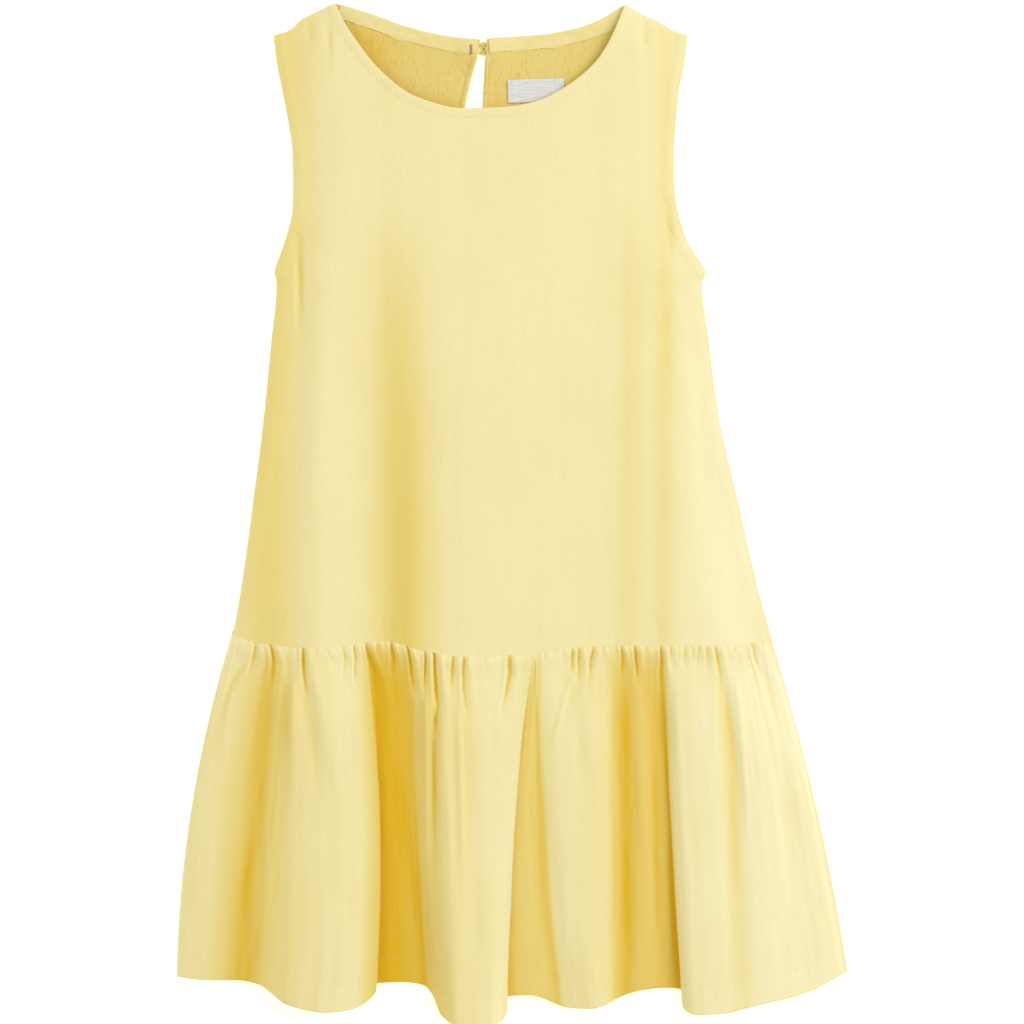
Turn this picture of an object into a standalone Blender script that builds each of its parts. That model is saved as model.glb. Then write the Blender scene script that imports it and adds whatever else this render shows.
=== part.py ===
"""A girl's sleeveless sundress, about age 5 to 6, laid flat on its back.

The neck points along +Y and the wearer's left side lies at +X. The table is the plane z = 0 and the
origin is under the middle of the dress. Each cut piece of cloth is one wall. It is drawn flat, joined
into triangles inside its rim, lifted to its height and then given its thickness. Tables hold
millimetres, and lengths are turned to metres where a mesh is made.
"""

import math

import bpy
import numpy as np
from mathutils import Vector
from mathutils.geometry import delaunay_2d_cdt

MM = 0.001

# Walls and gaps
WALL = 1.2
FACING_WALL = 1.0
FACING_GAP = 0.45
LABEL_WALL = 1.0
SEAM_GAP = 0.3
BACK_INSET = 0.7

# The bodice, from the waist seam to the shoulders: x of each side at heights up the dress
EDGE_COLUMNS = ("height", "left", "right")
SIDE_ROWS = (
    (-100, -197.0, 182.0),
    (-87, -194.0, 179.0),
    (-45, -186.5, 168.0),
    (10, -179.0, 155.5),
    (65, -172.0, 143.0),
    (120, -166.5, 135.5),
    (158, -163.0, 131.0),
    (168, -164.5, 134.0),
)
UNDERARM = 168.0
ARMHOLE_ROWS = (
    (168, -164.5, 134.0),
    (179, -160.5, 126.5),
    (189, -157.0, 120.5),
    (199, -154.0, 117.0),
    (210, -152.0, 114.0),
    (230, -151.5, 111.5),
    (251, -152.0, 111.5),
    (272, -155.0, 113.0),
    (293, -159.0, 115.0),
    (313, -163.0, 119.0),
    (330.5, -165.0, 121.0),
)
LEFT_SHOULDER = ((-165, 330.5), (-153.5, 334.5), (-146.5, 341), (-133, 348), (-122.5, 353))
RIGHT_SHOULDER = ((77.5, 352), (88, 346), (102, 339.5), (109, 335), (121, 330.5))
FRONT_NECK = (
    (-122.5, 353),
    (-117, 341),
    (-108, 327),
    (-91, 306),
    (-66.5, 288),
    (-33.5, 280),
    (-5, 281),
    (15.5, 284.5),
    (36, 294.5),
    (58, 313),
    (70, 333),
    (77.5, 352),
)
BACK_NECK = (
    (-122.5, 353),
    (-98, 345.5),
    (-77.5, 338),
    (-50, 331),
    (-22.4, 327.8),
    (-8.5, 329),
    (19, 331),
    (46.5, 336),
    (60.5, 341.5),
    (77.5, 352),
)
WAIST_SEAM = (
    (-196, -83),
    (-177, -88.5),
    (-146, -92),
    (-120, -91.5),
    (-90, -87.5),
    (-60, -94.5),
    (-31, -98.5),
    (-2, -97.5),
    (29, -94),
    (65, -91),
    (147, -91),
    (181, -86),
)

# How high the front of the bodice stands over the back
EDGE_HEIGHT = WALL + SEAM_GAP + WALL
BODICE_RISE = 3.6
RISE_WIDTH = 42.0
SHOULDER_FALL = 26.0
WAIST_BULK = 2.6
WAIST_BULK_REACH = 55.0
NECK_BULK = 1.7
NECK_BULK_REACH = 22.0
FOLDS_START = -90.0
FOLDS_RUN = 300.0
FOLDS_END_SHARE = 1.2
BODICE_FOLD_COLUMNS = ("waist_x", "chest_x", "width", "waist_rise", "chest_rise")
BODICE_FOLDS = (
    (-140, -134, 17, -1.6, -0.7),
    (-104, -100, 20, 1.5, 0.9),
    (-70, -72, 16, -1.9, -0.3),
    (-18, -8, 34, 1.4, 0.5),
    (95, 84, 24, -1.0, -0.5),
    (146, 122, 16, 0.7, 0.3),
)

# The slit in the middle of the back, and the button and loop that close it
SLIT_LEFT = (
    (-22.4, 328),
    (-24, 318),
    (-27.8, 305.5),
    (-31, 293),
    (-33.2, 281),
    (-34.5, 266),
    (-32, 255),
    (-27.5, 250.5),
)
SLIT_RIGHT = (
    (-27.5, 250.5),
    (-23, 255),
    (-20.6, 266),
    (-20.2, 281),
    (-19.2, 300),
    (-18.2, 318),
    (-17.9, 328),
)
NECK_FACING_WIDTH = 10.3
NECK_FACING_DROP = 0.75
NECK_FACING_SLIT_CLEAR = 0.8
SLIT_FACING_WIDTH = 3.6
SLIT_FACING_SETBACK = 0.4
SLIT_FACING_TOP = 316.0
NECK_END_CLEAR = 3.0
BUTTON_CENTRE = (-20.2, 321.5)
BUTTON_RADIUS = 4.9
BUTTON_THICKNESS = 1.6
BUTTON_EDGE = 0.5
BUTTON_SIDES = 20
SHANK_RADIUS = 0.8
SHANK_HEIGHT = 1.2
BUTTON_LIFT = BUTTON_THICKNESS + SEAM_GAP
LIFT_FLAT = 6.2
LIFT_REACH = 18.0
LIFT_RINGS = (3.0, 10.0, 18.0)
LIFT_RING_TURN = 40
LIFT_RIM_CLEAR = 4.0
LOOP_ROUND = 0.45
LOOP_HEIGHT = 2.5
LOOP_STEP = 0.9
LOOP_ROUTE = (
    (-22.0, 324.3),
    (-20.5, 324.1),
    (-19.2, 323.1),
    (-18.7, 321.5),
    (-19.2, 319.9),
    (-20.5, 318.9),
    (-22.0, 318.7),
)

# The bare woven label inside the back neck
LABEL_CORNER = (-3.0, 284.0)
LABEL_WIDTH = 39.0
LABEL_HEIGHT = 16.0
LABEL_TILT = math.radians(1.6)

# The front skirt: a row for each fold line from the left side seam to the right one, with its x at the
# seam, half way and at the hem, its height half way and at the hem, and the y of the hem there
FOLD_COLUMNS = ("seam_x", "half_x", "hem_x", "half_z", "hem_z", "hem_y")
FRONT_FOLDS = (
    (-194, -221.5, -232, 2.7, 2.7, -319.5),
    (-188, -207, -213.5, 8, 10, -321.5),
    (-165, -185, -193.5, 5, 6, -321.5),
    (-158, -164, -173, 10, 11, -324),
    (-147, -143, -153.5, 15, 19, -337.5),
    (-126, -116, -126, 17, 23, -342),
    (-104, -96.5, -104, 15, 20, -338),
    (-100.5, -91, -94.5, 11, 14, -330),
    (-98.5, -88, -90.5, 4.2, 4.2, -324.5),
    (-80.5, -72, -67, 4.2, 4.6, -323),
    (-70.5, -65, -57.5, 7, 9, -330.5),
    (-62, -57, -49, 13, 18, -346.5),
    (-50, -39.5, -35, 15, 22, -351),
    (-26, -14.5, -14, 17, 25, -351),
    (10.5, 0, -4, 14, 20, -348.5),
    (14.5, 2.5, -1.5, 5, 5, -333),
    (22, 19, 15, 6, 6, -332),
    (30, 30.5, 28, 11, 13, -338),
    (43, 46.5, 46.5, 15, 18, -341),
    (60.5, 64, 63, 12, 15, -338),
    (74, 73, 75.5, 6, 6, -332.5),
    (86, 89.5, 90, 8.8, 8.5, -328),
    (97.5, 102.5, 109.5, 4.5, 4.2, -326.5),
    (101, 108, 116, 5, 5, -329),
    (104, 111.5, 120, 12, 17, -341),
    (116, 126, 132, 17, 23, -344),
    (134, 146.5, 153.5, 14, 20, -342),
    (150, 165, 174, 14, 18, -336),
    (165, 188, 202, 9, 11, -330),
    (179, 209.5, 231.5, 2.7, 2.7, -316),
)
TIER_LENGTH = 240.0
SEAM_STEP_DOWN = 0.5
SKIRT_RISE_PACE = 0.75

# The back skirt lies on the table, its folds nesting under those of the front, in the same columns
BACK_FOLDS = (
    (-193, -220.5, -231, 1.2, 1.2, -314),
    (-160, -168, -176, 1.2, 1.2, -317),
    (-140, -142, -150, 3.6, 4.6, -319),
    (-112, -112, -120, 4.2, 6.4, -320),
    (-96, -98, -102, 1.2, 1.2, -320),
    (-66, -63, -57, 1.2, 1.2, -320),
    (-48, -42, -38, 3.2, 5.4, -320),
    (-22, -20, -18, 3.4, 6.2, -320),
    (4, -6, -9, 1.2, 1.2, -320),
    (26, 24, 22, 1.2, 1.2, -320),
    (44, 46, 47, 3.2, 4.4, -320),
    (66, 66, 66, 1.2, 1.2, -320),
    (108, 116, 124, 1.2, 1.2, -319),
    (124, 138, 146, 3.6, 5.8, -318),
    (148, 166, 178, 2.6, 3.6, -316),
    (162, 184, 198, 1.2, 1.2, -314),
    (178, 208.5, 230.5, 1.2, 1.2, -311),
)

# Gathers run down from the waist seam. The deep ones are set by hand, with small ones between them.
GATHER_COLUMNS = ("seam_x", "length", "depth")
DEEP_GATHERS = (
    (-177, 36, 2.4),
    (-167, 38, 3.4),
    (-144, 40, 3.8),
    (-116, 28, 2.4),
    (-101, 40, 3.6),
    (-84, 28, 2.8),
    (-72, 38, 3.8),
    (-60, 40, 3.0),
    (-54, 68, 4.2),
    (-41, 28, 2.4),
    (-30, 48, 3.6),
    (-2, 34, 3.0),
    (15, 26, 3.6),
    (40, 24, 2.6),
    (46, 30, 3.0),
    (54, 18, 2.4),
    (75, 26, 3.0),
    (84, 34, 3.4),
    (102, 36, 3.8),
    (109, 22, 2.6),
    (128, 18, 2.6),
    (139, 80, 3.0),
    (163, 54, 3.4),
)
SMALL_GATHER_SPACE = 8.0
SMALL_GATHER_LENGTH = 13.0
SMALL_GATHER_DEPTH = 2.0
BACK_GATHER_SPACE = 9.0
BACK_GATHER_LENGTH = 26.0
BACK_GATHER_DEPTH = 0.9
GATHER_HALF_WIDTH = 2.5
GATHER_SIDE_FADE = 24.0
LONG_GATHER = 20.0
UNEVEN_PACE = 2.4
UNEVEN_SIZE = 0.3
UNEVEN_SPACE = 0.25

# How finely the walls are divided
RIM_STEP = 11.0
BODICE_STEP = 21.0
SKIRT_STEP = 9.0
NARROW_STEP = 9.0
PUFF_STEP = 2.2
FACING_STEP = 4.5
STAGGER = 0.87
RIM_CLEAR = 0.62
UNDERARM_JUST_BELOW = 0.01
UNDERARM_CLEAR = 6.0
FRONT_SEAM_ROWS = (0.0, 6.0, 13.0)
FRONT_GATHER_ROWS = (22.0, 34.0)
FRONT_FOLD_ROWS = (48.0, 66.0, 90.0, 120.0, 150.0, 180.0, 212.0)
BACK_SEAM_ROWS = (0.0, 12.0)
BACK_FOLD_ROWS = (32.0, 72.0, 120.0, 180.0)
MERGE = 1e-6

# Colours in linear light, and roughness
YELLOW_COTTON = (0.87, 0.75, 0.38)
COTTON_ROUGHNESS = 0.85
PALE_TAPE = (0.72, 0.72, 0.76)
TAPE_ROUGHNESS = 0.7
YELLOW_RESIN = (0.80, 0.70, 0.17)
RESIN_ROUGHNESS = 0.35
YELLOW_THREAD = (0.80, 0.70, 0.20)
THREAD_ROUGHNESS = 0.6


def column(rows, names, name):
    return [row[names.index(name)] for row in rows]


def smooth_through(places, values):
    """A smooth rule through hand-set values that never swings past them."""
    places = np.asarray(places, float)
    values = np.asarray(values, float)
    gaps = np.diff(places)
    slopes = np.diff(values) / gaps
    leans = np.empty(len(places))
    leans[0] = slopes[0]
    leans[-1] = slopes[-1]
    before = slopes[:-1]
    after = slopes[1:]
    same_way = before * after > 0
    weight_before = gaps[:-1] + 2 * gaps[1:]
    weight_after = 2 * gaps[:-1] + gaps[1:]
    safe_before = np.where(same_way, before, 1.0)
    safe_after = np.where(same_way, after, 1.0)
    blended = (weight_before + weight_after) / (weight_before / safe_before + weight_after / safe_after)
    leans[1:-1] = np.where(same_way, blended, 0.0)

    def rule(at):
        at = np.clip(at, places[0], places[-1])
        span = np.clip(np.searchsorted(places, at, side="right") - 1, 0, len(gaps) - 1)
        wide = gaps[span]
        share = (at - places[span]) / wide
        start = values[span] * (1 + 2 * share) * (1 - share) ** 2
        end = values[span + 1] * share**2 * (3 - 2 * share)
        start_lean = leans[span] * wide * share * (1 - share) ** 2
        end_lean = leans[span + 1] * wide * share**2 * (share - 1)
        return start + end + start_lean + end_lean

    return rule


def curve_through(points, step):
    """Points about a step apart on a smooth curve through hand-set points, both ends kept."""
    points = np.asarray(points, float)
    along = np.concatenate([[0.0], np.cumsum(np.hypot(*np.diff(points, axis=0).T))])
    across = smooth_through(along, points[:, 0])
    up = smooth_through(along, points[:, 1])
    count = max(2, int(round(along[-1] / step)) + 1)
    stops = np.linspace(0.0, along[-1], count)
    return [(float(across(stop)), float(up(stop))) for stop in stops]


def ease(share):
    """0 to 1 with a soft start and end."""
    share = np.clip(share, 0.0, 1.0)
    return share * share * (3 - 2 * share)


def edge_rule(rows, side):
    return smooth_through(column(rows, EDGE_COLUMNS, "height"), column(rows, EDGE_COLUMNS, side))


side_left = edge_rule(SIDE_ROWS, "left")
side_right = edge_rule(SIDE_ROWS, "right")
arm_left = edge_rule(ARMHOLE_ROWS, "left")
arm_right = edge_rule(ARMHOLE_ROWS, "right")
waist_height = smooth_through(*zip(*WAIST_SEAM))


def left_edge(height):
    return np.where(height < UNDERARM, side_left(height), arm_left(height))


def right_edge(height):
    return np.where(height < UNDERARM, side_right(height), arm_right(height))


def under_shoulder(shoulder, x, y):
    """How far a place lies below the straight line between a shoulder's ends."""
    (start_x, start_y), (end_x, end_y) = shoulder[0], shoulder[-1]
    return start_y + (end_y - start_y) / (end_x - start_x) * (x - start_x) - y


def bodice_front_height(x, y):
    """The height of the upper face of the front bodice."""
    from_side = np.minimum(x - left_edge(y), right_edge(y) - x)
    under = np.minimum(under_shoulder(LEFT_SHOULDER, x, y), under_shoulder(RIGHT_SHOULDER, x, y))
    fullness = ease(from_side / RISE_WIDTH) * ease(under / SHOULDER_FALL)
    above_waist = (y - waist_height(x)) / WAIST_BULK_REACH
    height = EDGE_HEIGHT + (BODICE_RISE + WAIST_BULK * np.exp(-above_waist * above_waist)) * fullness
    for neck_x, neck_y in (FRONT_NECK[0], FRONT_NECK[-1]):
        away = np.hypot(x - neck_x, y - neck_y) / NECK_BULK_REACH
        height = height + NECK_BULK * np.exp(-away * away)
    up = np.clip((y - FOLDS_START) / FOLDS_RUN, 0.0, FOLDS_END_SHARE)
    for row in BODICE_FOLDS:
        fold = dict(zip(BODICE_FOLD_COLUMNS, row))
        off = (x - fold["waist_x"] - (fold["chest_x"] - fold["waist_x"]) * up) / fold["width"]
        rise = fold["waist_rise"] + (fold["chest_rise"] - fold["waist_rise"]) * up
        height = height + rise * fullness * np.exp(-off * off)
    return height


def back_lift(x, y):
    """How far the back bodice is lifted by the button under its neck edge."""
    away = np.hypot(x - BUTTON_CENTRE[0], y - BUTTON_CENTRE[1])
    return BUTTON_LIFT * (1 - ease((away - LIFT_FLAT) / LIFT_REACH))


def remove_all():
    for old in list(bpy.data.objects):
        bpy.data.objects.remove(old, do_unlink=True)


def material(name, colour, roughness):
    made = bpy.data.materials.new(name)
    made.use_nodes = True
    shader = made.node_tree.nodes["Principled BSDF"]
    shader.inputs["Base Color"].default_value = (*colour, 1.0)
    shader.inputs["Roughness"].default_value = roughness
    shader.inputs["Metallic"].default_value = 0.0
    return made


def put(name, mesh, home, made):
    piece = bpy.data.objects.new(name, mesh)
    home.objects.link(piece)
    mesh.materials.append(made)
    mesh.shade_smooth()
    return piece


def cloth_wall(name, home, rim, inner, lift, wall):
    """One cut piece: flat points joined inside the rim, lifted, then thickened downwards."""
    rim_points = [Vector(point) for point in rim]
    points = rim_points + [Vector(point) for point in inner]
    flat, _, faces, *_ = delaunay_2d_cdt(points, [], [list(range(len(rim_points)))], 1, MERGE)
    places = [tuple(MM * part for part in lift(point.x, point.y)) for point in flat]
    mesh = bpy.data.meshes.new(name)
    mesh.from_pydata(places, [], faces)
    mesh.update()
    piece = put(name, mesh, home, material(name + "_cotton", YELLOW_COTTON, COTTON_ROUGHNESS))
    thickness = piece.modifiers.new("wall", "SOLIDIFY")
    thickness.thickness = wall * MM
    thickness.offset = -1.0
    thickness.use_even_offset = False
    return piece


def inside(points, rim):
    """Which of the points lie inside the closed rim."""
    rim = np.asarray(rim, float)
    x = points[:, 0]
    y = points[:, 1]
    found = np.zeros(len(points), bool)
    for (ax, ay), (bx, by) in zip(rim, np.roll(rim, -1, axis=0)):
        if ay == by:
            continue
        crosses = (ay > y) != (by > y)
        found ^= crosses & (x < ax + (bx - ax) * (y - ay) / (by - ay))
    return found


def spread_inside(rim, step):
    """Staggered points a step apart inside the rim and clear of it."""
    rim = np.asarray(rim, float)
    low = rim.min(axis=0)
    high = rim.max(axis=0)
    points = []
    for row, y in enumerate(np.arange(low[1] + step / 2, high[1], step * STAGGER)):
        shift = step / 2 * (row % 2)
        points += [(x, y) for x in np.arange(low[0] + shift, high[0], step)]
    points = np.array(points)
    points = points[inside(points, rim)]
    nearest = np.array([np.hypot(*(rim - point).T).min() for point in points])
    return [tuple(point) for point in points[nearest > RIM_CLEAR * step]]


def edge_points(edge, low, high, step):
    """Points on one side of the dress from a low to a high place on it."""
    count = max(2, int(round((high - low) / step)) + 1)
    return [(float(edge(height)), float(height)) for height in np.linspace(low, high, count)]


def seam_points(skirt, gathers, edge_inset):
    """The bodice's side of the waist seam, with a point over each point of the gathered edge."""
    left = FRONT_FOLDS[0][0] + edge_inset
    right = FRONT_FOLDS[-1][0] - edge_inset
    between = [float(skirt.rules["seam_x"](cloth)) for cloth in gather_columns(skirt, gathers)]
    return [(x, float(waist_height(x)) + SEAM_GAP / 2) for x in [left] + between + [right]]


def bodice_rim(seam, neck, inset):
    """The rim of a bodice piece, anticlockwise from the left end of the waist seam."""

    def right_side(y):
        return right_edge(y) - inset

    def left_side(y):
        return left_edge(y) + inset

    under = UNDERARM - UNDERARM_JUST_BELOW
    over = UNDERARM + UNDERARM_CLEAR
    right = edge_points(right_side, seam[-1][1] + RIM_STEP, under, RIM_STEP)
    right += edge_points(right_side, over, RIGHT_SHOULDER[-1][1] - inset, RIM_STEP)
    left = edge_points(left_side, seam[0][1] + RIM_STEP, under, RIM_STEP)
    left += edge_points(left_side, over, LEFT_SHOULDER[0][1] - inset, RIM_STEP)
    right_top = [(x, y - inset) for x, y in curve_through(RIGHT_SHOULDER, RIM_STEP)[::-1][1:-1]]
    left_top = [(x, y - inset) for x, y in curve_through(LEFT_SHOULDER, RIM_STEP)[::-1][1:-1]]
    return seam + right + right_top + neck + left_top + left[::-1]


def neck_with_slit():
    """The back neck edge from right to left, going down and round the slit."""
    edge = curve_through(BACK_NECK, NARROW_STEP)
    right = [point for point in edge if point[0] > SLIT_RIGHT[-1][0] + NECK_END_CLEAR]
    left = [point for point in edge if point[0] < SLIT_LEFT[0][0] - NECK_END_CLEAR]
    down = curve_through(SLIT_RIGHT[::-1], NARROW_STEP)
    up = curve_through(SLIT_LEFT[::-1], NARROW_STEP)
    return right[::-1] + down + up[1:] + left[::-1]


def make_bodice(home, front_seam, back_seam):
    neck = curve_through(FRONT_NECK, RIM_STEP)[::-1]
    rim = bodice_rim(front_seam, neck, 0.0)

    def front(x, y):
        return x, y, float(bodice_front_height(x, y))

    cloth_wall("front_bodice", home, rim, spread_inside(rim, BODICE_STEP), front, WALL)
    rim = bodice_rim(back_seam, neck_with_slit(), BACK_INSET)
    bump = [
        (BUTTON_CENTRE[0] + far * math.cos(turn), BUTTON_CENTRE[1] + far * math.sin(turn))
        for far in np.array(LIFT_RINGS) + LIFT_FLAT
        for turn in np.radians(np.arange(0, 360, LIFT_RING_TURN))
    ]
    bump = np.array(bump)
    bump = bump[inside(bump, rim)]
    clear = [np.hypot(*(np.array(rim) - point).T).min() > LIFT_RIM_CLEAR for point in bump]
    inner = [point for point in spread_inside(rim, BODICE_STEP) if back_lift(*point) < 0.01]
    inner += [tuple(point) for point in bump[clear]]

    def back(x, y):
        return x, y, float(WALL + back_lift(x, y))

    cloth_wall("back_bodice", home, rim, inner, back, WALL)


class Skirt:
    """A gathered tier. Its cut is flat, with the distance along the cloth at the hem as one measure and the
    distance down from the seam as the other, evened out so that the hem is straight."""

    def __init__(self, folds, seam_top, gather):
        names = FOLD_COLUMNS
        hem = list(zip(column(folds, names, "hem_x"), column(folds, names, "hem_z")))
        self.lines = np.concatenate([[0.0], np.cumsum(np.hypot(*np.diff(np.array(hem), axis=0).T))])
        self.rules = {name: smooth_through(self.lines, column(folds, names, name)) for name in names}
        self.seam_top = seam_top
        self.gather = gather
        self.width = float(self.lines[-1])
        fine = np.linspace(0, self.width, 800)
        self.cloth_at_seam = smooth_through(self.rules["seam_x"](fine), fine)

    def length(self, cloth):
        return float(waist_height(self.rules["seam_x"](cloth)) - SEAM_GAP / 2 - self.rules["hem_y"](cloth))

    def at(self, cloth, even_down):
        """The place of a point of the cloth, as x, y and height."""
        seam_x = self.rules["seam_x"](cloth)
        share = np.clip(even_down / TIER_LENGTH, 0.0, 1.0)
        down = share * self.length(cloth)
        half_x = self.rules["half_x"](cloth)
        hem_x = self.rules["hem_x"](cloth)
        curl = 2 * (seam_x + hem_x - 2 * half_x)
        x = seam_x + (hem_x - seam_x - curl) * share + curl * share * share
        y = waist_height(seam_x) - SEAM_GAP / 2 - down
        top = self.seam_top(seam_x)
        half_z = self.rules["half_z"](cloth)
        hem_z = self.rules["hem_z"](cloth)
        early = np.clip(2 * share, 0.0, 1.0) ** SKIRT_RISE_PACE
        late = np.clip(2 * share - 1, 0.0, 1.0)
        z = top + (half_z - top) * ease(early) + (hem_z - half_z) * late
        return float(x), float(y), float(self.gather(z, seam_x, down))


def uneven(place, most):
    """An amount up to the most either way that changes from place to place."""
    return most * math.sin(UNEVEN_PACE * place)


def seam_fade(x):
    """Gathers die out towards the side seams."""
    from_side = min(x - WAIST_SEAM[0][0], WAIST_SEAM[-1][0] - x)
    return float(ease(from_side / GATHER_SIDE_FADE))


def all_front_gathers():
    """The deep gathers with small ones spaced out between them, from left to right."""
    found = list(DEEP_GATHERS)
    ends = [WAIST_SEAM[0][0]] + column(DEEP_GATHERS, GATHER_COLUMNS, "seam_x") + [WAIST_SEAM[-1][0]]
    for left, right in zip(ends[:-1], ends[1:]):
        spare = int((right - left) / SMALL_GATHER_SPACE)
        for number in range(1, spare):
            x = left + (right - left) * number / spare
            size = 1 + uneven(x, UNEVEN_SIZE)
            found.append((x, SMALL_GATHER_LENGTH * size, SMALL_GATHER_DEPTH * size))
    return sorted(found)


def all_back_gathers():
    left = WAIST_SEAM[0][0]
    right = WAIST_SEAM[-1][0]
    count = int((right - left) / BACK_GATHER_SPACE)
    found = []
    for number in range(1, count):
        x = left + (right - left) * (number + uneven(number, UNEVEN_SPACE)) / count
        found.append((x, BACK_GATHER_LENGTH * (1 + uneven(x, UNEVEN_SIZE)), BACK_GATHER_DEPTH))
    return found


def sunk_by(gathers, seam_x, down):
    """How far the gathers sink the cloth at a place near the seam."""
    table = np.array(gathers)
    fade = ease(np.clip(1 - down / table[:, 1], 0.0, 1.0))
    off = (seam_x - table[:, 0]) / GATHER_HALF_WIDTH
    return float((table[:, 2] * fade * np.exp(-off * off)).max()) * seam_fade(seam_x)


def front_gathered(gathers):
    """The front's gathers sink from its height, but stay clear of the back."""

    def height(z, seam_x, down):
        least = EDGE_HEIGHT + BACK_GATHER_DEPTH * seam_fade(seam_x) + SEAM_GAP / 2
        return z - min(sunk_by(gathers, seam_x, down), max(0.0, z - least))

    return height


def back_gathered(gathers):
    """The back's gathers stand up from the table between the grooves."""

    def height(z, seam_x, down):
        fade = ease(np.clip(1 - down / BACK_GATHER_LENGTH, 0.0, 1.0)) * seam_fade(seam_x)
        return z + max(0.0, BACK_GATHER_DEPTH * fade - sunk_by(gathers, seam_x, down))

    return height


def gather_columns(skirt, gathers, least_length=0.0):
    """Cloth places of each gather, with some on the puff between it and the next."""
    kept = [row[0] for row in gathers if row[1] > least_length]
    between = []
    for a, b in zip(kept[:-1], kept[1:]):
        pieces = max(2, int(round((b - a) / PUFF_STEP)))
        between += [a + (b - a) * number / pieces for number in range(1, pieces)]
    found = [float(skirt.cloth_at_seam(x)) for x in kept + between]
    return sorted(found)


def fold_columns(skirt, step):
    """Cloth places of each fold line, with more between them where they are far apart."""
    found = []
    for a, b in zip(skirt.lines[:-1], skirt.lines[1:]):
        pieces = max(1, int(round((b - a) / step)))
        found += list(np.linspace(a, b, pieces, endpoint=False))
    return found[1:]


def make_skirt(name, home, skirt, gathers, seam_rows, gather_rows, fold_rows):
    ends = [0.0, skirt.width]
    at_seam = gather_columns(skirt, gathers)
    long_ones = gather_columns(skirt, gathers, LONG_GATHER)
    at_folds = fold_columns(skirt, SKIRT_STEP)
    top = [(cloth, 0.0) for cloth in [0.0] + at_seam + [skirt.width]]
    hem = [(cloth, -TIER_LENGTH) for cloth in [0.0] + at_folds + [skirt.width]]
    rows = list(seam_rows[1:]) + list(gather_rows) + list(fold_rows)
    sides = [[(end, -down) for down in rows] for end in ends]
    rim = top[::-1] + sides[0] + hem + sides[1][::-1]
    inner = []
    for down in seam_rows[1:]:
        inner += [(cloth, -down) for cloth in at_seam]
    for down in gather_rows:
        inner += [(cloth, -down) for cloth in long_ones]
    for down in fold_rows:
        inner += [(cloth, -down) for cloth in at_folds]
    return cloth_wall(name, home, rim, inner, lambda cloth, up: skirt.at(cloth, -up), WALL)


def make_panels(home):
    """The bodice and the skirt, front and back, which meet along the waist seam."""
    gathers = all_front_gathers()
    front = Skirt(
        FRONT_FOLDS,
        lambda x: bodice_front_height(x, waist_height(x)) - SEAM_STEP_DOWN * seam_fade(x),
        front_gathered(gathers),
    )
    back_gathers = all_back_gathers()
    back = Skirt(BACK_FOLDS, lambda x: WALL, back_gathered(back_gathers))
    make_bodice(home, seam_points(front, gathers, 0.0), seam_points(back, back_gathers, BACK_INSET))
    make_skirt("front_skirt", home, front, gathers, FRONT_SEAM_ROWS, FRONT_GATHER_ROWS, FRONT_FOLD_ROWS)
    make_skirt("back_skirt", home, back, back_gathers, BACK_SEAM_ROWS, (), BACK_FOLD_ROWS)


def beside(points, distance):
    """The points moved to the right of the way they run."""
    points = np.asarray(points, float)
    run = np.gradient(points, axis=0)
    run /= np.hypot(*run.T)[:, None]
    return [tuple(point) for point in points + distance * np.stack([run[:, 1], -run[:, 0]], axis=1)]


def strip_on_back(name, home, edge, width):
    """A narrow strip of cloth on the inside of the back, to the right of the way its edge runs."""
    other = beside(edge, width)
    rim = other[::-1] + edge
    rim = rim[::-1]

    def over_back(x, y):
        return x, y, float(WALL + back_lift(x, y) + FACING_GAP + FACING_WALL)

    cloth_wall(name, home, rim, [], over_back, FACING_WALL)


def make_facings(home):
    """The bias strips turned in along the back neck, and the narrow strip round the slit."""
    neck = [(x, y - NECK_FACING_DROP) for x, y in curve_through(BACK_NECK, FACING_STEP)]
    left_end = BACK_NECK[0][0] + NECK_END_CLEAR
    right_end = BACK_NECK[-1][0] - NECK_END_CLEAR
    left = [point for point in neck if left_end < point[0] < SLIT_LEFT[0][0] - NECK_FACING_SLIT_CLEAR]
    right = [point for point in neck if SLIT_RIGHT[-1][0] + NECK_FACING_SLIT_CLEAR < point[0] < right_end]
    strip_on_back("back_neck_facing_left", home, left, NECK_FACING_WIDTH)
    strip_on_back("back_neck_facing_right", home, right, NECK_FACING_WIDTH)
    round_slit = curve_through(SLIT_LEFT, FACING_STEP) + curve_through(SLIT_RIGHT, FACING_STEP)[1:]
    round_slit = [point for point in round_slit if point[1] < SLIT_FACING_TOP]
    round_slit = beside(round_slit, SLIT_FACING_SETBACK)
    strip_on_back("slit_facing", home, round_slit, SLIT_FACING_WIDTH)


def make_label(home):
    """The bare woven label, a small plate of cloth a little off the back."""
    bpy.ops.mesh.primitive_cube_add(size=1.0)
    label = bpy.context.active_object
    label.name = "neck_label"
    label.data.name = "neck_label"
    for collection in list(label.users_collection):
        collection.objects.unlink(label)
    home.objects.link(label)
    label.data.materials.append(material("neck_label_tape", PALE_TAPE, TAPE_ROUGHNESS))
    across = Vector((math.cos(LABEL_TILT), math.sin(LABEL_TILT), 0.0))
    up = Vector((-math.sin(LABEL_TILT), math.cos(LABEL_TILT), 0.0))
    middle = Vector((*LABEL_CORNER, 0.0)) + across * LABEL_WIDTH / 2 + up * LABEL_HEIGHT / 2
    middle.z = WALL + SEAM_GAP + LABEL_WALL / 2
    label.scale = (LABEL_WIDTH * MM, LABEL_HEIGHT * MM, LABEL_WALL * MM)
    label.rotation_euler = (0.0, 0.0, LABEL_TILT)
    label.location = middle * MM
    bpy.context.view_layer.update()
    bpy.ops.object.select_all(action="DESELECT")
    label.select_set(True)
    bpy.context.view_layer.objects.active = label
    bpy.ops.object.transform_apply(location=False, rotation=False, scale=True)


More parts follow.
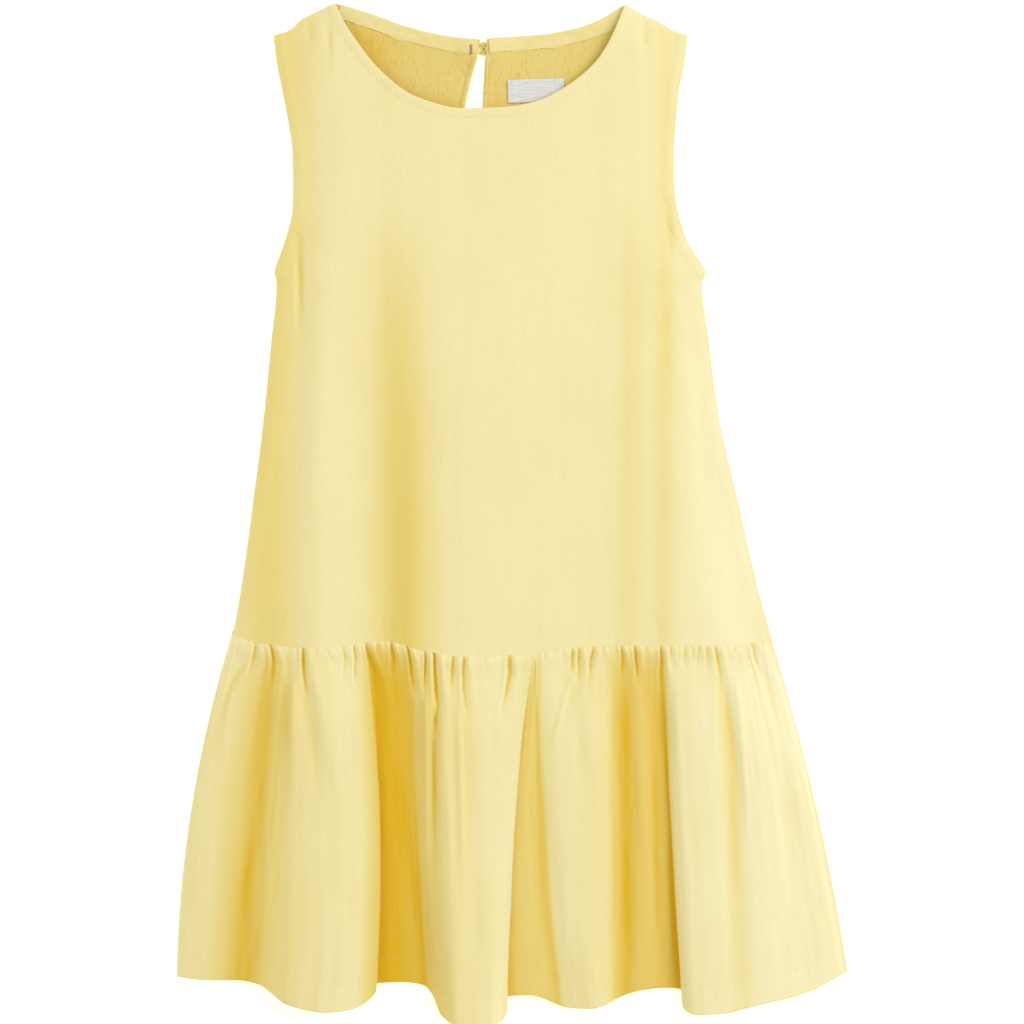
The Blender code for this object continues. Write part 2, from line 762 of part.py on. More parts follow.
def make_button(home):
    """The small button under the top of the slit, turned from one profile with its thread shank."""
    profile = (
        (0.0, BUTTON_THICKNESS + SHANK_HEIGHT),
        (SHANK_RADIUS, BUTTON_THICKNESS + SHANK_HEIGHT),
        (SHANK_RADIUS, BUTTON_THICKNESS),
        (BUTTON_RADIUS - BUTTON_EDGE, BUTTON_THICKNESS),
        (BUTTON_RADIUS, BUTTON_THICKNESS - BUTTON_EDGE),
        (BUTTON_RADIUS, BUTTON_EDGE),
        (BUTTON_RADIUS - BUTTON_EDGE, 0.0),
        (0.0, 0.0),
    )
    mesh = bpy.data.meshes.new("back_button")
    points = [(far * MM, 0.0, high * MM) for far, high in profile]
    mesh.from_pydata(points, [(n, n + 1) for n in range(len(points) - 1)], [])
    button = put("back_button", mesh, home, material("back_button_resin", YELLOW_RESIN, RESIN_ROUGHNESS))
    turn = button.modifiers.new("turn", "SCREW")
    turn.steps = BUTTON_SIDES
    turn.render_steps = BUTTON_SIDES
    turn.use_merge_vertices = True
    turn.merge_threshold = 0.00001
    button.location = (BUTTON_CENTRE[0] * MM, BUTTON_CENTRE[1] * MM, 0.0)


def make_loop(home):
    """The thread loop that holds the button across the slit."""
    curve = bpy.data.curves.new("button_loop", "CURVE")
    curve.dimensions = "3D"
    curve.bevel_depth = LOOP_ROUND * MM
    curve.bevel_resolution = 2
    curve.use_fill_caps = True
    route = curve_through(LOOP_ROUTE, LOOP_STEP)
    spline = curve.splines.new("POLY")
    spline.points.add(len(route) - 1)
    for point, (x, y) in zip(spline.points, route):
        point.co = (x * MM, y * MM, LOOP_HEIGHT * MM, 1.0)
    loop = bpy.data.objects.new("button_loop", curve)
    home.objects.link(loop)
    curve.materials.append(material("button_loop_thread", YELLOW_THREAD, THREAD_ROUGHNESS))


def main():
    remove_all()
    home = bpy.data.collections.new("sundress")
    bpy.context.scene.collection.children.link(home)
    make_panels(home)
    make_facings(home)
    make_label(home)
    make_button(home)
    make_loop(home)


main()
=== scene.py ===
"""A girl's sleeveless yellow cotton sundress, laid flat on its back and seen from straight above.

Fine cloth lies here over the plain walls of the frame: the bodice and the gathered skirt tier with their
creases and gathers, the turned edges and their stitching, the slit behind the neck with its loop and button,
and a bare woven label. Tables hold millimetres in the frame's own axes, and lengths turn to metres where a
mesh is made.
"""

import math

import bpy
import numpy as np
from mathutils import Matrix, Vector, kdtree
from mathutils.geometry import delaunay_2d_cdt


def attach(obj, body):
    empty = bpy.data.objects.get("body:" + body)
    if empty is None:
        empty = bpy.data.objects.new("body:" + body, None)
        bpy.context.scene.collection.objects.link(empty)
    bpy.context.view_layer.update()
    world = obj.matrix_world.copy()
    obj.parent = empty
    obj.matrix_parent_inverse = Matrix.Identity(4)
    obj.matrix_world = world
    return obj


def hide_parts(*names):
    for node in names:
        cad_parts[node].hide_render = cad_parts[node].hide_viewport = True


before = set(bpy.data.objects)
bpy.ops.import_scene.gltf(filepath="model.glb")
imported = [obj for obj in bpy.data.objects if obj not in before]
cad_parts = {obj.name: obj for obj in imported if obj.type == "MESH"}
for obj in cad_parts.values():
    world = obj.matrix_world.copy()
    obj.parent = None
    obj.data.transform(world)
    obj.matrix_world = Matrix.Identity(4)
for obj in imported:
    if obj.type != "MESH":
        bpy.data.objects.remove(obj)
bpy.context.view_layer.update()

MM = 0.001

# One layer of the crinkled cotton with the air that its crinkle holds, and how the layers lie
CLOTH = 0.8
STRIP = 0.5
TABLE_CLEAR = 0.05
LAYER_GAP = 0.1
BACK_TOP = TABLE_CLEAR + CLOTH
CLOSED_EDGE_TOP = BACK_TOP + LAYER_GAP + CLOTH
OPEN_EDGE_TOP = 2.7
CLOSED_EDGE_ROLL = 6.0
RIM_ROUND = 0.8
RIM_FALL = 0.35
EDGE_ANGLE = math.radians(75)

# The bodice, from the waist seam to the shoulders: x of each side at heights up the dress
EDGE_COLUMNS = ("height", "left", "right")
SIDE_ROWS = (
    (-100, -197.0, 182.0),
    (-87, -194.0, 179.0),
    (-45, -186.5, 168.0),
    (10, -179.0, 155.5),
    (65, -172.0, 143.0),
    (120, -166.5, 135.5),
    (158, -163.0, 131.0),
    (168, -164.5, 134.0),
)
UNDERARM = 168.0
ARMHOLE_ROWS = (
    (168, -164.5, 134.0),
    (179, -160.5, 126.5),
    (189, -157.0, 120.5),
    (199, -154.0, 117.0),
    (210, -152.0, 114.0),
    (230, -151.5, 111.5),
    (251, -152.0, 111.5),
    (272, -155.0, 113.0),
    (293, -159.0, 115.0),
    (313, -163.0, 119.0),
    (330.5, -165.0, 121.0),
)
LEFT_SHOULDER = ((-165, 330.5), (-153.5, 334.5), (-146.5, 341), (-133, 348), (-122.5, 353))
RIGHT_SHOULDER = ((77.5, 352), (88, 346), (102, 339.5), (109, 335), (121, 330.5))
FRONT_NECK = (
    (-122.5, 353),
    (-117, 341),
    (-108, 327),
    (-91, 306),
    (-66.5, 288),
    (-33.5, 280),
    (-5, 281),
    (15.5, 284.5),
    (36, 294.5),
    (58, 313),
    (70, 333),
    (77.5, 352),
)
BACK_NECK = (
    (-122.5, 353),
    (-98, 345.5),
    (-77.5, 338),
    (-50, 331),
    (-22.4, 327.8),
    (-8.5, 329),
    (19, 331),
    (46.5, 336),
    (60.5, 341.5),
    (77.5, 352),
)
WAIST_SEAM = (
    (-196, -83),
    (-177, -88.5),
    (-146, -92),
    (-120, -91.5),
    (-90, -87.5),
    (-60, -94.5),
    (-31, -98.5),
    (-2, -97.5),
    (29, -94),
    (65, -91),
    (147, -91),
    (181, -86),
)
BACK_INSET = 0.7

# How high the front of the bodice stands over the back, and its broad folds
BODICE_RISE = 3.6
RISE_WIDTH = 42.0
SHOULDER_FALL = 26.0
WAIST_BULK = 2.6
WAIST_BULK_REACH = 55.0
NECK_BULK = 1.7
NECK_BULK_REACH = 22.0
FOLDS_START = -90.0
FOLDS_RUN = 300.0
FOLDS_END_SHARE = 1.2
BODICE_FOLD_COLUMNS = ("waist_x", "chest_x", "width", "waist_rise", "chest_rise")
BODICE_FOLDS = (
    (-134, -136, 13, 2.5, 0.9),
    (-93, -92, 19, -2.6, -0.9),
    (-34, -26, 32, 2.6, 0.5),
    (58, 56, 26, -1.3, -0.4),
    (113, 112, 16, 1.3, 0.8),
)
FOLDS_FADE = 2.5
SEAM_END_LEFT = 2.3
SEAM_END_RIGHT = 1.9

# Painted shade: the bodice's colour is painted deeper where it turns from the light or lies close to another
# fold, and paler where a band below zero faces the light
BODICE_BASE_TONE = 0.15
CREASE_PAINTED_SHADE = 0.16
CREASE_SHADE_DEPTH = 1.5
NECK_CORNER = (-104.0, 322.0)
NECK_CORNER_PAINTED_SHADE = 0.34
NECK_CORNER_REACH = (26.0, 18.0)
UNDER_FRONT_PAINTED_SHADE = 0.12
UNDER_FRONT_REACH = 9.0
BODICE_SHADE_COLUMNS = ("waist_x", "chest_x", "width", "waist_shade", "chest_shade")
BODICE_PAINTED_SHADES = (
    (-170, -160, 22, 0.34, 0.30),
    (-76, -84, 20, 0.50, 0.05),
    (80, 84, 8, 0.18, 0.04),
    (104, 105, 8, 0.18, 0.14),
    (150, 116, 26, -0.14, 0.0),
)

# Small creases of the bodice, each from one place to another, with its half width and its rise
CREASE_UNEVEN = 0.45
CREASE_LUMP = (5.0, 9.0)
FRONT_CREASE_START = 3
CREASE_END = 2
CREASE_COLUMNS = ("from_x", "from_y", "to_x", "to_y", "width", "rise")
FRONT_CREASES = (
    (-148.4, 214, -146.5, 112, 2.0, -1.2),
    (-152.0, 190, -150.5, 120, 1.6, 0.4),
    (107.0, 224, 109.5, 172, 1.6, -1.1),
    (103.0, 200, 109.0, 40, 5.0, -0.7),
    (116.0, 160, 127.0, -40, 6.0, 0.5),
    (-127, 346, -126.3, 296, 1.8, -0.9),
    (-140, 345, -139.5, 318, 2.0, -0.7),
    (-133.5, 343, -133.5, 316, 2.6, 0.6),
    (92, 344, 91, 316, 2.6, -0.8),
    (99, 340, 99, 318, 2.6, 0.4),
    (-89.4, -66, -88.6, -92, 1.3, -0.35),
    (-83.8, -72, -83.2, -92, 1.1, -0.45),
    (-80.8, -70, -80.4, -93, 1.2, 0.3),
    (-75.0, -74, -74.2, -94, 1.3, -0.3),
    (-38, -64, -37, -98, 1.6, -0.25),
    (18, -70, 18.4, -96, 1.4, -0.25),
    (52, -72, 52, -94, 1.4, -0.3),
    (100, -66, 101, -92, 1.6, -0.3),
    (126, -70, 127, -92, 1.4, -0.25),
    (-120, -64, -120, -92, 1.6, -0.25),
    (-158, -60, -159, -92, 1.8, -0.3),
    (-116, 120, -119, -60, 5.0, 0.3),
    (-62, 190, -64, 20, 4.5, 0.22),
    (-39, 120, -41, -70, 4.0, -0.22),
    (-6, 230, -4, 40, 5.0, 0.2),
    (33, 160, 33, -60, 4.5, -0.2),
    (61, 210, 62, 30, 4.0, 0.22),
    (76, 240, 78, -20, 3.2, -0.28),
    (88, 200, 92, -60, 3.6, 0.26),
    (99, 170, 106, -40, 3.2, -0.26),
    (121, 120, 132, -60, 4.5, 0.24),
)

# The slit in the middle of the back, and the button and loop that close it
SLIT_LEFT = (
    (-22.4, 328),
    (-24, 318),
    (-27.8, 305.5),
    (-31, 293),
    (-33.2, 281),
    (-34.5, 266),
    (-32, 255),
    (-27.5, 250.5),
)
SLIT_RIGHT = (
    (-27.5, 250.5),
    (-23, 255),
    (-20.6, 266),
    (-20.2, 281),
    (-19.2, 300),
    (-18.2, 318),
    (-17.9, 328),
)
NECK_STRIP_WIDTH = 10.3
NECK_STRIP_OVERHANG = 0.5
NECK_STRIP_ROLL = 0.9
SLIT_STRIP_WIDTH = 3.6
SLIT_STRIP_OVERHANG = 0.6
SLIT_STRIP_ROLL = 1.2
SLIT_STRIP_TOP = 316.0
NECK_END_CLEAR = 3.0
STRIP_END_CLEAR = 0.2
SLIT_CLEAR = 1.0
STRIP_STEP = 1.2
STRIP_ROWS = (0.0, 0.25, 0.6, 1.1, 2.0, 3.2, 4.6, 6.0, 7.4, 8.6, 9.3, 9.8, 10.1, 10.3)
STRIP_ROLL_REACH = 1.1
STRIP_FREE_FALL = 0.18
STRIP_FREE_REACH = 0.7
STRIP_GROOVE = 0.22
STRIP_GROOVE_WIDTH = 0.6
STRIP_WAVE = 0.22
STRIP_WAVE_SIZE = (5.0, 6.0)
STRIP_WAVE_START = 3.0
STRIP_WAVER = 0.7
STRIP_WAVER_SIZE = 9.0
STRIP_TONE = 0.15
STRIP_TONE_SIZE = (7.0, 3.0)

# The button lies under the slit with its back upwards: how far from its middle and how high its turned
# form runs, from the hollow middle over the rim to the face
BUTTON_CENTRE = (-20.2, 321.5)
BUTTON_LIFT = 1.9
LIFT_FLAT = 6.2
LIFT_REACH = 18.0
BUTTON_PROFILE = (
    (0.0, 0.95),
    (1.35, 0.95),
    (2.3, 0.98),
    (3.1, 1.12),
    (3.7, 1.42),
    (4.2, 1.58),
    (4.65, 1.45),
    (4.88, 1.1),
    (4.88, 0.6),
    (4.6, 0.2),
    (3.9, 0.04),
    (2.4, 0.0),
    (0.0, 0.0),
)
BUTTON_STEPS = 64
BUTTON_ANGLE = math.radians(40)
HOLE_ACROSS = 0.95
HOLE_ROUND = 0.5
HOLE_DEEP = 4.0
HOLE_SIDES = 24
BUTTON_THREAD = ((0.95, 0.5), (0.85, 1.1), (0.4, 1.3))
BUTTON_THREAD_ROUND = 0.15
BUTTON_THREAD_SPACE = 0.28

# The loop of three twisted strands, and the tack that holds its end
LOOP_ROUND = 0.45
LOOP_HEIGHT = 2.5
LOOP_STEP = 0.18
LOOP_TWIST = 0.42
STRANDS = 3
STRAND_AWAY = 0.5
STRAND_ROUND = 0.56
TACK_LEFT = -29.4
TACK_RIGHT = -27.7
TACK_LOW = 317.6
TACK_HIGH = 324.2
TACK_STEP = 0.42
TACK_SLANT = 0.1
TACK_MIDDLE = (-28.5, 321.0)
TACK_RISE = 0.3
TACK_BOW = 0.2
TACK_ROUND = 0.26
LOOP_ROUTE = (
    (-22.0, 324.3),
    (-20.5, 324.1),
    (-19.2, 323.1),
    (-18.7, 321.5),
    (-19.2, 319.9),
    (-20.5, 318.9),
    (-22.0, 318.7),
)

# The bare woven label inside the back neck
LABEL_CORNER = (-3.0, 284.0)
LABEL_WIDTH = 39.0
LABEL_HEIGHT = 16.0
LABEL_TILT = math.radians(1.6)
LABEL_WALL = 0.45
LABEL_HIGH = 0.75
LABEL_COLUMNS = 79
LABEL_ROWS = 33
LABEL_SAG = 0.35
LABEL_SAG_REACH = 0.35
LABEL_CURL = 0.25
LABEL_CURL_PLACE = 0.15
LABEL_CURL_REACH = 0.25
LABEL_CURL_FROM = 0.3
LABEL_END = 0.25
LABEL_END_WIDTH = 5.5
LABEL_END_SLOPE = 1.5
LABEL_STITCH = 0.25
LABEL_STITCH_IN = 1.6
LABEL_STITCH_WIDTH = 0.5
LABEL_RIM = 0.2
LABEL_RIM_REACH = 0.5
LABEL_RIPPLE = 0.08
LABEL_RIPPLE_SIZE = 6.0

# The front skirt: a row for each fold line from the left side seam to the right one, with its x at the
# seam, half way and at the hem, its height half way and at the hem, the y of the hem there, and the shade
# painted into its fold, paler below zero where it faces the light. Where x turns back from one row to the
# next, the cloth rolls under the edge of a fold.
FOLD_COLUMNS = ("seam_x", "half_x", "hem_x", "half_z", "hem_z", "hem_y", "painted_shade")
FRONT_FOLDS = (
    (-194, -221.5, -232, 2.3, 2.3, -319.5, 0.1),
    (-188, -207, -213.5, 4.6, 5.6, -321.5, 0.1),
    (-172, -192, -201, 5.2, 6.6, -321.5, 0.36),
    (-165, -179, -190, 4.6, 6.8, -321.5, 0.64),
    (-157, -166, -175, 7.5, 9.5, -324, 0.42),
    (-147, -148, -155, 14, 18.5, -337, 0.18),
    (-128, -121, -128, 16.5, 22.5, -342, 0.05),
    (-112, -108, -112, 14.2, 19.5, -340.5, 0.03),
    (-105, -98, -101, 11.5, 15.5, -336, 0.32),
    (-101.5, -91.5, -94, 9, 11.5, -328.5, 0.66),
    (-99.5, -93.5, -96, 4.3, 4.3, -324.5, 0.95),
    (-86, -80, -76, 4.2, 4.4, -323, 0.85),
    (-71, -68, -61.5, 4.8, 5.2, -325, 0.68),
    (-66.5, -63.5, -56, 6.5, 8, -330.5, 0.4),
    (-60, -56, -49, 10.5, 14.5, -345, 0.36),
    (-50, -42, -37, 16, 23, -351, 0.18),
    (-26, -17, -15, 15.4, 22.5, -351, 0.05),
    (4, -3, -8, 12.2, 17.2, -349, 0.0),
    (14, 1.4, -3.1, 10.5, 13.2, -341, 0.2),
    (14.8, 0.2, -5, 9.0, 10.4, -333, 0.52),
    (15.8, 9.5, 11, 8.0, 8.8, -331.5, 0.46),
    (17, 20.5, 31, 6.8, 7.2, -338, 0.42),
    (20.5, 25, 36, 8.0, 8.4, -340, 0.1),
    (34, 36, 45, 10.8, 11.2, -340.5, 0.03),
    (48, 50, 54, 11.6, 13.5, -340.5, 0.05),
    (61, 62, 63, 10.5, 12, -338.5, 0.08),
    (69, 70, 71.5, 7, 7, -334.5, 0.42),
    (77, 79, 80, 5.0, 5.0, -331, 0.66),
    (86, 88, 89, 6.8, 5.6, -328.5, 0.56),
    (96, 100.5, 106, 4.8, 4.6, -327, 0.62),
    (101, 108.5, 118, 4.8, 4.8, -329, 0.66),
    (106, 110, 117, 8.6, 11.5, -339, 0.18),
    (113.5, 119.5, 127, 13.6, 19.5, -344, -0.02),
    (134, 140, 147, 13.4, 18, -343, -0.06),
    (141, 152, 160, 10.8, 16, -340, 0.08),
    (147, 162, 170.5, 12.2, 15.5, -337.5, -0.1),
    (165, 188, 202, 8, 10, -330, -0.12),
    (179, 209.5, 231.5, 2.7, 2.7, -316, -0.12),
)
TIER_LENGTH = 240.0
SEAM_GAP = 0.02

# The back skirt lies on the table, its folds nesting under those of the front, in the same columns
BACK_FOLDS = (
    (-193, -220.5, -231, 1.2, 1.2, -314, 0.3),
    (-160, -168, -176, 1.2, 1.2, -317, 0.3),
    (-140, -142, -150, 3.6, 4.6, -319, 0.3),
    (-112, -112, -120, 4.2, 6.4, -320, 0.3),
    (-96, -98, -102, 1.2, 1.2, -320, 0.3),
    (-66, -63, -57, 1.2, 1.2, -320, 0.3),
    (-48, -42, -38, 3.2, 5.4, -320, 0.3),
    (-22, -20, -18, 3.4, 6.2, -320, 0.3),
    (4, -6, -9, 1.2, 1.2, -320, 0.3),
    (26, 24, 22, 1.2, 1.2, -320, 0.3),
    (44, 46, 47, 3.2, 4.4, -320, 0.3),
    (66, 66, 66, 1.2, 1.2, -320, 0.3),
    (108, 116, 124, 1.2, 1.2, -319, 0.3),
    (124, 138, 146, 3.6, 5.8, -318, 0.3),
    (148, 166, 178, 2.6, 3.6, -316, 0.3),
    (162, 184, 198, 1.2, 1.2, -314, 0.3),
    (178, 208.5, 230.5, 1.2, 1.2, -311, 0.3),
)

# Gathers: each runs from the waist seam to its lower end, bowing sideways by its bend, with its
# half width and its depth
GATHER_COLUMNS = ("from_x", "from_y", "to_x", "to_y", "bend", "width", "depth")
FRONT_GATHERS = (
    (-183.2, -87, -185.3, -95.5, 0.0, 1.0, 1.2),
    (-177.7, -88, -186.0, -120, 1.5, 1.3, 2.4),
    (-167.3, -89, -166.6, -123, 1.8, 1.6, 4.0),
    (-159.0, -90, -159.0, -100, 0.0, 0.9, 1.4),
    (-154.2, -91, -154.2, -98, 0.0, 0.8, 1.2),
    (-148.7, -91, -148.7, -99.5, 0.0, 0.8, 1.3),
    (-144.6, -91, -141.0, -130, -0.6, 1.4, 3.6),
    (-135.6, -91, -135.6, -99.5, 0.0, 0.8, 1.4),
    (-129.4, -91, -121.8, -111, 0.8, 1.2, 1.2),
    (-117.0, -91, -115.6, -126, 0.4, 1.3, 1.7),
    (-109.4, -89, -105.9, -126, -1.0, 1.1, 2.8),
    (-101.8, -88, -92.6, -130, 0.4, 1.4, 3.6),
    (-93.5, -87, -92.8, -99, 0.0, 0.9, 1.6),
    (-83.8, -87, -83.2, -114, 0.0, 1.1, 3.0),
    (-72.8, -90, -65.9, -129, -0.8, 1.2, 3.6),
    (-60.4, -93, -60.0, -134, 0.0, 1.1, 3.0),
    (-54.2, -95, -51.4, -168, 0.8, 1.6, 4.4),
    (-41.1, -97, -41.7, -127, 0.0, 1.2, 2.6),
    (-33.5, -98, -29.3, -146, -2.0, 1.3, 3.0),
    (-19.7, -98, -19.7, -107, 0.0, 0.9, 1.3),
    (-2.4, -96, -9.3, -147, 1.8, 1.4, 3.2),
    (21.7, -94, 21.7, -104, 0.0, 0.9, 1.6),
    (28.6, -93, 28.6, -99, 0.0, 0.8, 1.2),
    (41.1, -92, 41.1, -114, 0.0, 1.1, 2.4),
    (45.2, -92, 44.0, -122, 1.2, 1.2, 3.0),
    (50.0, -91, 50.0, -98, 0.0, 0.8, 1.1),
    (55.5, -91, 48.5, -130, 0.8, 1.2, 2.4),
    (61.8, -91, 61.8, -100, 0.0, 0.9, 1.4),
    (66.6, -91, 66.6, -98, 0.0, 0.8, 1.1),
    (70.7, -91, 70.7, -101, 0.0, 0.8, 1.4),
    (74.9, -91, 75.6, -116, 0.0, 1.1, 2.6),
    (83.8, -90, 86.0, -125, 0.4, 1.3, 3.4),
    (91.4, -90, 91.4, -98, 0.0, 0.8, 1.2),
    (101.8, -90, 103.4, -125, 0.0, 1.3, 2.6),
    (108.7, -90, 108.7, -110, 0.0, 1.1, 2.2),
    (118.3, -90, 119.0, -110, 0.0, 1.1, 1.8),
    (122.5, -90, 125.2, -103, 0.0, 1.0, 1.6),
    (128.0, -91, 128.0, -108, 0.0, 1.1, 2.2),
    (133.5, -91, 133.5, -110, 0.0, 1.0, 1.9),
    (139.0, -90, 145.0, -128, 0.6, 1.4, 2.4),
    (142.5, -90, 142.5, -101, 0.0, 0.8, 1.2),
    (147.3, -90, 147.3, -96, 0.0, 0.8, 1.0),
    (152.1, -89, 152.8, -98, 0.0, 0.8, 1.0),
    (157.0, -88, 157.7, -95, 0.0, 0.8, 0.9),
    (166.8, -80, 164.4, -96, 0.8, 1.2, 2.6),
    (164.4, -88, 177.6, -138, 1.0, 1.6, 3.4),
    (171.6, -87, 174.0, -112, 0.0, 1.2, 1.4),
)
SMALL_GATHER_SPACE = 4.4
SMALL_GATHER_LENGTH = 9.0
SMALL_GATHER_DEPTH = 0.8
SMALL_GATHER_WIDTH = 0.8
BACK_GATHER_SPACE = 7.0
BACK_GATHER_LENGTH = 26.0
BACK_GATHER_DEPTH = 0.9
GATHER_SIDE_FADE = 16.0
GATHER_OPENING = 3.0
GATHER_AT_SEAM = 0.4
GATHER_ABOVE_SEAM = 1.0
GATHER_LIP = 0.3
GATHER_LIP_PLACE = 2.2
GATHER_LIP_WIDTH = 0.9
GATHER_WIDENING = 0.6
GATHER_FADE = 0.7
GATHER_END = 4
GROOVE_ROUND = 0.2
GROOVE_LEAN = 1.45
GATHER_STRAY = 1.1
GATHER_STRAY_SIZE = (9.0, 11.0)
GATHER_STRAY_START = 12.0
GROOVE_STEEP = 1.4
UNEVEN_PACE = 2.4
UNEVEN_SIZE = 0.3
UNEVEN_SPACE = 0.25

# Long soft creases of the skirt, in the gathers' columns but for the last, which is their rise
SKIRT_CREASE_START = 5
SKIRT_CREASE_COLUMNS = ("from_x", "from_y", "to_x", "to_y", "bend", "width", "rise")
SKIRT_CREASES = (
    (-179, -94, -208.5, -178, -8.0, 2.6, -1.6),
    (-194, -115, -202, -190, 0.0, 3.0, 0.5),
    (-151.0, -112, -152.5, -176, 0.0, 2.2, 1.3),
    (-147.0, -104, -131.0, -215, 3.0, 5.0, -1.0),
    (-139.5, -100, -118.0, -215, 3.0, 6.0, 1.2),
    (-54.5, -104, -53.0, -262, 0.0, 2.4, -1.9),
    (-60.5, -108, -58.5, -270, 0.0, 2.2, 1.0),
    (-37.0, -112, -33.0, -310, 0.0, 1.9, 0.9),
    (-41.5, -120, -38.5, -300, 0.0, 2.6, -0.6),
    (-12.0, -132, -16.0, -215, 0.0, 3.0, -0.5),
    (45.0, -100, 26.0, -170, -1.5, 2.2, 1.1),
    (38.0, -106, 50.0, -215, 1.5, 6.0, -1.3),
    (145.5, -104, 157.0, -240, 1.5, 3.8, -1.2),
    (152.5, -104, 163.5, -246, 1.5, 2.2, 1.0),
    (173.0, -104, 181.5, -150, 0.0, 3.4, -1.0),
    (128.0, -130, 137.0, -300, 0.0, 4.0, -0.4),
    (186.0, -150, 199.0, -300, 0.0, 5.0, -0.5),
)

# How the gathered edge tucks under the bodice, and swells just below the seam
TUCK = 3.0
TUCK_SINK = 1.25
SEAM_TOP_SINK = 0.03
SINK_REACH = 8.0
PUFF_RISE = 0.9
PUFF_PLACE = 5.0
PUFF_REACH = 5.0
PUFF_START = 2.0
FRONT_LEAST = 2.0
LEAST_ROOM = 0.05
FOLD_OPENING = 58.0
# Painted shade: how far below the seam the folds' shade opens, then an even base tone and uneven lumps of
# tone
FOLD_SHADE_OPENING = 10.0
SKIRT_BASE_TONE = 0.15
SKIRT_TONE_UNEVEN = 0.05
SKIRT_TONE_LUMP = (8.0, 60.0)
# Shade painted into the grooves of the gathers, where the cloth sinks below its neighbours, fades towards the
# side seams
GROOVE_SHADE_SIDE_FADE = 24.0
GROOVE_SHADE_COLUMNS = ("reach", "depth", "most")
GROOVE_PAINTED_SHADES = ((4, 1.1, 0.4), (12, 2.2, 0.3))

# The cotton's crinkle, and the skirt's own lumps, which start some way below the seam: the height, width
# and length of each kind, and the number of its draw
CRINKLE_COLUMNS = ("height", "width", "length", "draw")
CRINKLE = (
    (0.16, 7.0, 110.0, 11),
    (0.06, 2.9, 30.0, 12),
    (0.025, 1.9, 9.0, 13),
)
SKIRT_LUMP_COLUMNS = ("height", "width", "length", "draw", "start")
SKIRT_LUMPS = (
    (0.5, 16.0, 150.0, 32, 40.0),
    (0.4, 6.0, 55.0, 33, 10.0),
)
SKIRT_WRINKLES = (0.2, 3.8, 21.0, 37, 14.0)
WRINKLE_PATCH = (26.0, 60.0)
WRINKLE_SPREAD = 0.7
LUMP_SIDE_FADE = 5.0
CRINKLE_START = 12.0
CRINKLE_EDGE_FADE = 3.0
SLUB_RISE = 0.12
SLUB_SIZE = (2.6, 6.5)
SLUB_SHARPNESS = 2.2
SLUB_LEAST = 0.5
NOISE_CELLS = 256
NOISE_START = 100.0

# Rows of stitching: how far in from the edge each one runs
NECK_STITCH_IN = 6.2
ARM_STITCH_IN = 7.4
HEM_STITCH_IN = 17.0
STRIP_STITCH_IN = 9.2
SLIT_STITCH_IN = 2.6
SLIT_STITCH_END = 2.0
STITCH_LENGTH = 2.3
STITCH_SPACE = 3.0
STITCH_START = 0.5
STITCH_BOW = 0.14
STITCH_SINK = 0.1
STITCH_SIDES = 6
STITCH_COLUMNS = ("along", "size", "lift")
STITCH_SECTIONS = (
    (0.0, 0.15, -1.0),
    (0.12, 0.8, -0.1),
    (0.5, 1.0, 0.25),
    (0.88, 0.8, -0.1),
    (1.0, 0.15, -1.0),
)
NECK_STITCH_END = 5.0
ARM_STITCH_TOP = 326.0
HEM_STITCH_END = 4.0
HEM_STITCH_STEP = 1.5
STRIP_STITCH_END = 8.0
STRIP_STITCH_SLIT_LEFT = 6.0
STRIP_STITCH_SLIT_RIGHT = 2.0
THREAD_ROUND = 0.17
HEM_THREAD_ROUND = 0.1
STITCH_DIP = 0.4
STITCH_DIP_WIDTH = 0.9
HEM_STITCH_DIP = 0.12
HEM_EXTRA = 0.13
HEM_PUCKER = 0.08
HEM_PUCKER_SIZE = (3.6, 8.0)
HEM_PUCKER_REACH = 6.0
BAND_EXTRA = 0.5
BAND_SLOPE = 1.2
PUCKER = 0.10
PUCKER_SIZE = 3.2
PUCKER_REACH = 3.5
WAIST_PUCKER = 0.18
WAIST_PUCKER_SIZE = (4.2, 14.0)
WAIST_PUCKER_REACH = 12.0

# How finely the cloth is divided. A stretch of the tier runs from one distance below the seam to another
# by a step, and the other distances stand alone.
LINE_STEP = 1.0
NECK_LINE_STEP = 0.8
LOWER_EDGE_STEP = 0.7
SURFACE_STEP = 0.25
RIM_STEP = 1.7
RING_SHARE = 0.93
RIM_RINGS = (0.4, 1.0, 2.0, 3.4, 5.0, 6.6, 8.4)
FRONT_STEP = (1.75, 2.7)
BACK_STEP = (3.6, 5.4)
BACK_SEEN_STEP = (1.5, 2.1)
BACK_SEEN_FROM = 262.0
BACK_SEEN_FADE = 20.0
BACK_RINGS = 4
INNER_CLEAR = 0.7
FRONT_SKIRT_COLUMNS = 585
BACK_SKIRT_COLUMNS = 250
SKIRT_FINE_PLACES = 2000
SEAM_ROWS = (-TUCK, -1.0, -SEAM_GAP, 0.0, 0.3, 0.7)
SKIRT_STRETCHES = ((1.3, 18.0, 1.1), (18.5, 60.0, 2.4), (61.0, TIER_LENGTH - HEM_STITCH_IN - 3.0, 5.0))
STITCH_ROWS = (-1.6, -0.7, 0.0, 0.7, 1.6)
HEM_ROWS = (10.0, 5.0, 2.2, 1.0, 0.4, 0.0)
BACK_SKIRT_COARSE = 2.0
BACK_SKIRT_RELIEF = 0.3

# The camera, which sees a width of the table from high above
SEEN_WIDTH = 706.6
CAMERA_HEIGHT = 2605.0
CAMERA_DISTANCE = 2600.0
CAMERA_PLACE = (-0.35, 1.4)
SENSOR = 36.0
FLOOR_REACH = 4.0
FLOOR_DROP = 0.2


def column(rows, names, name):
    return [row[names.index(name)] for row in rows]


def named(columns, rows):
    """The rows of a table, each value under its column's name."""
    return [dict(zip(columns, row)) for row in rows]


def lengths_along(points):
    """How far along a line each of its points lies."""
    return np.concatenate([[0.0], np.cumsum(np.hypot(*np.diff(np.asarray(points, float), axis=0).T))])


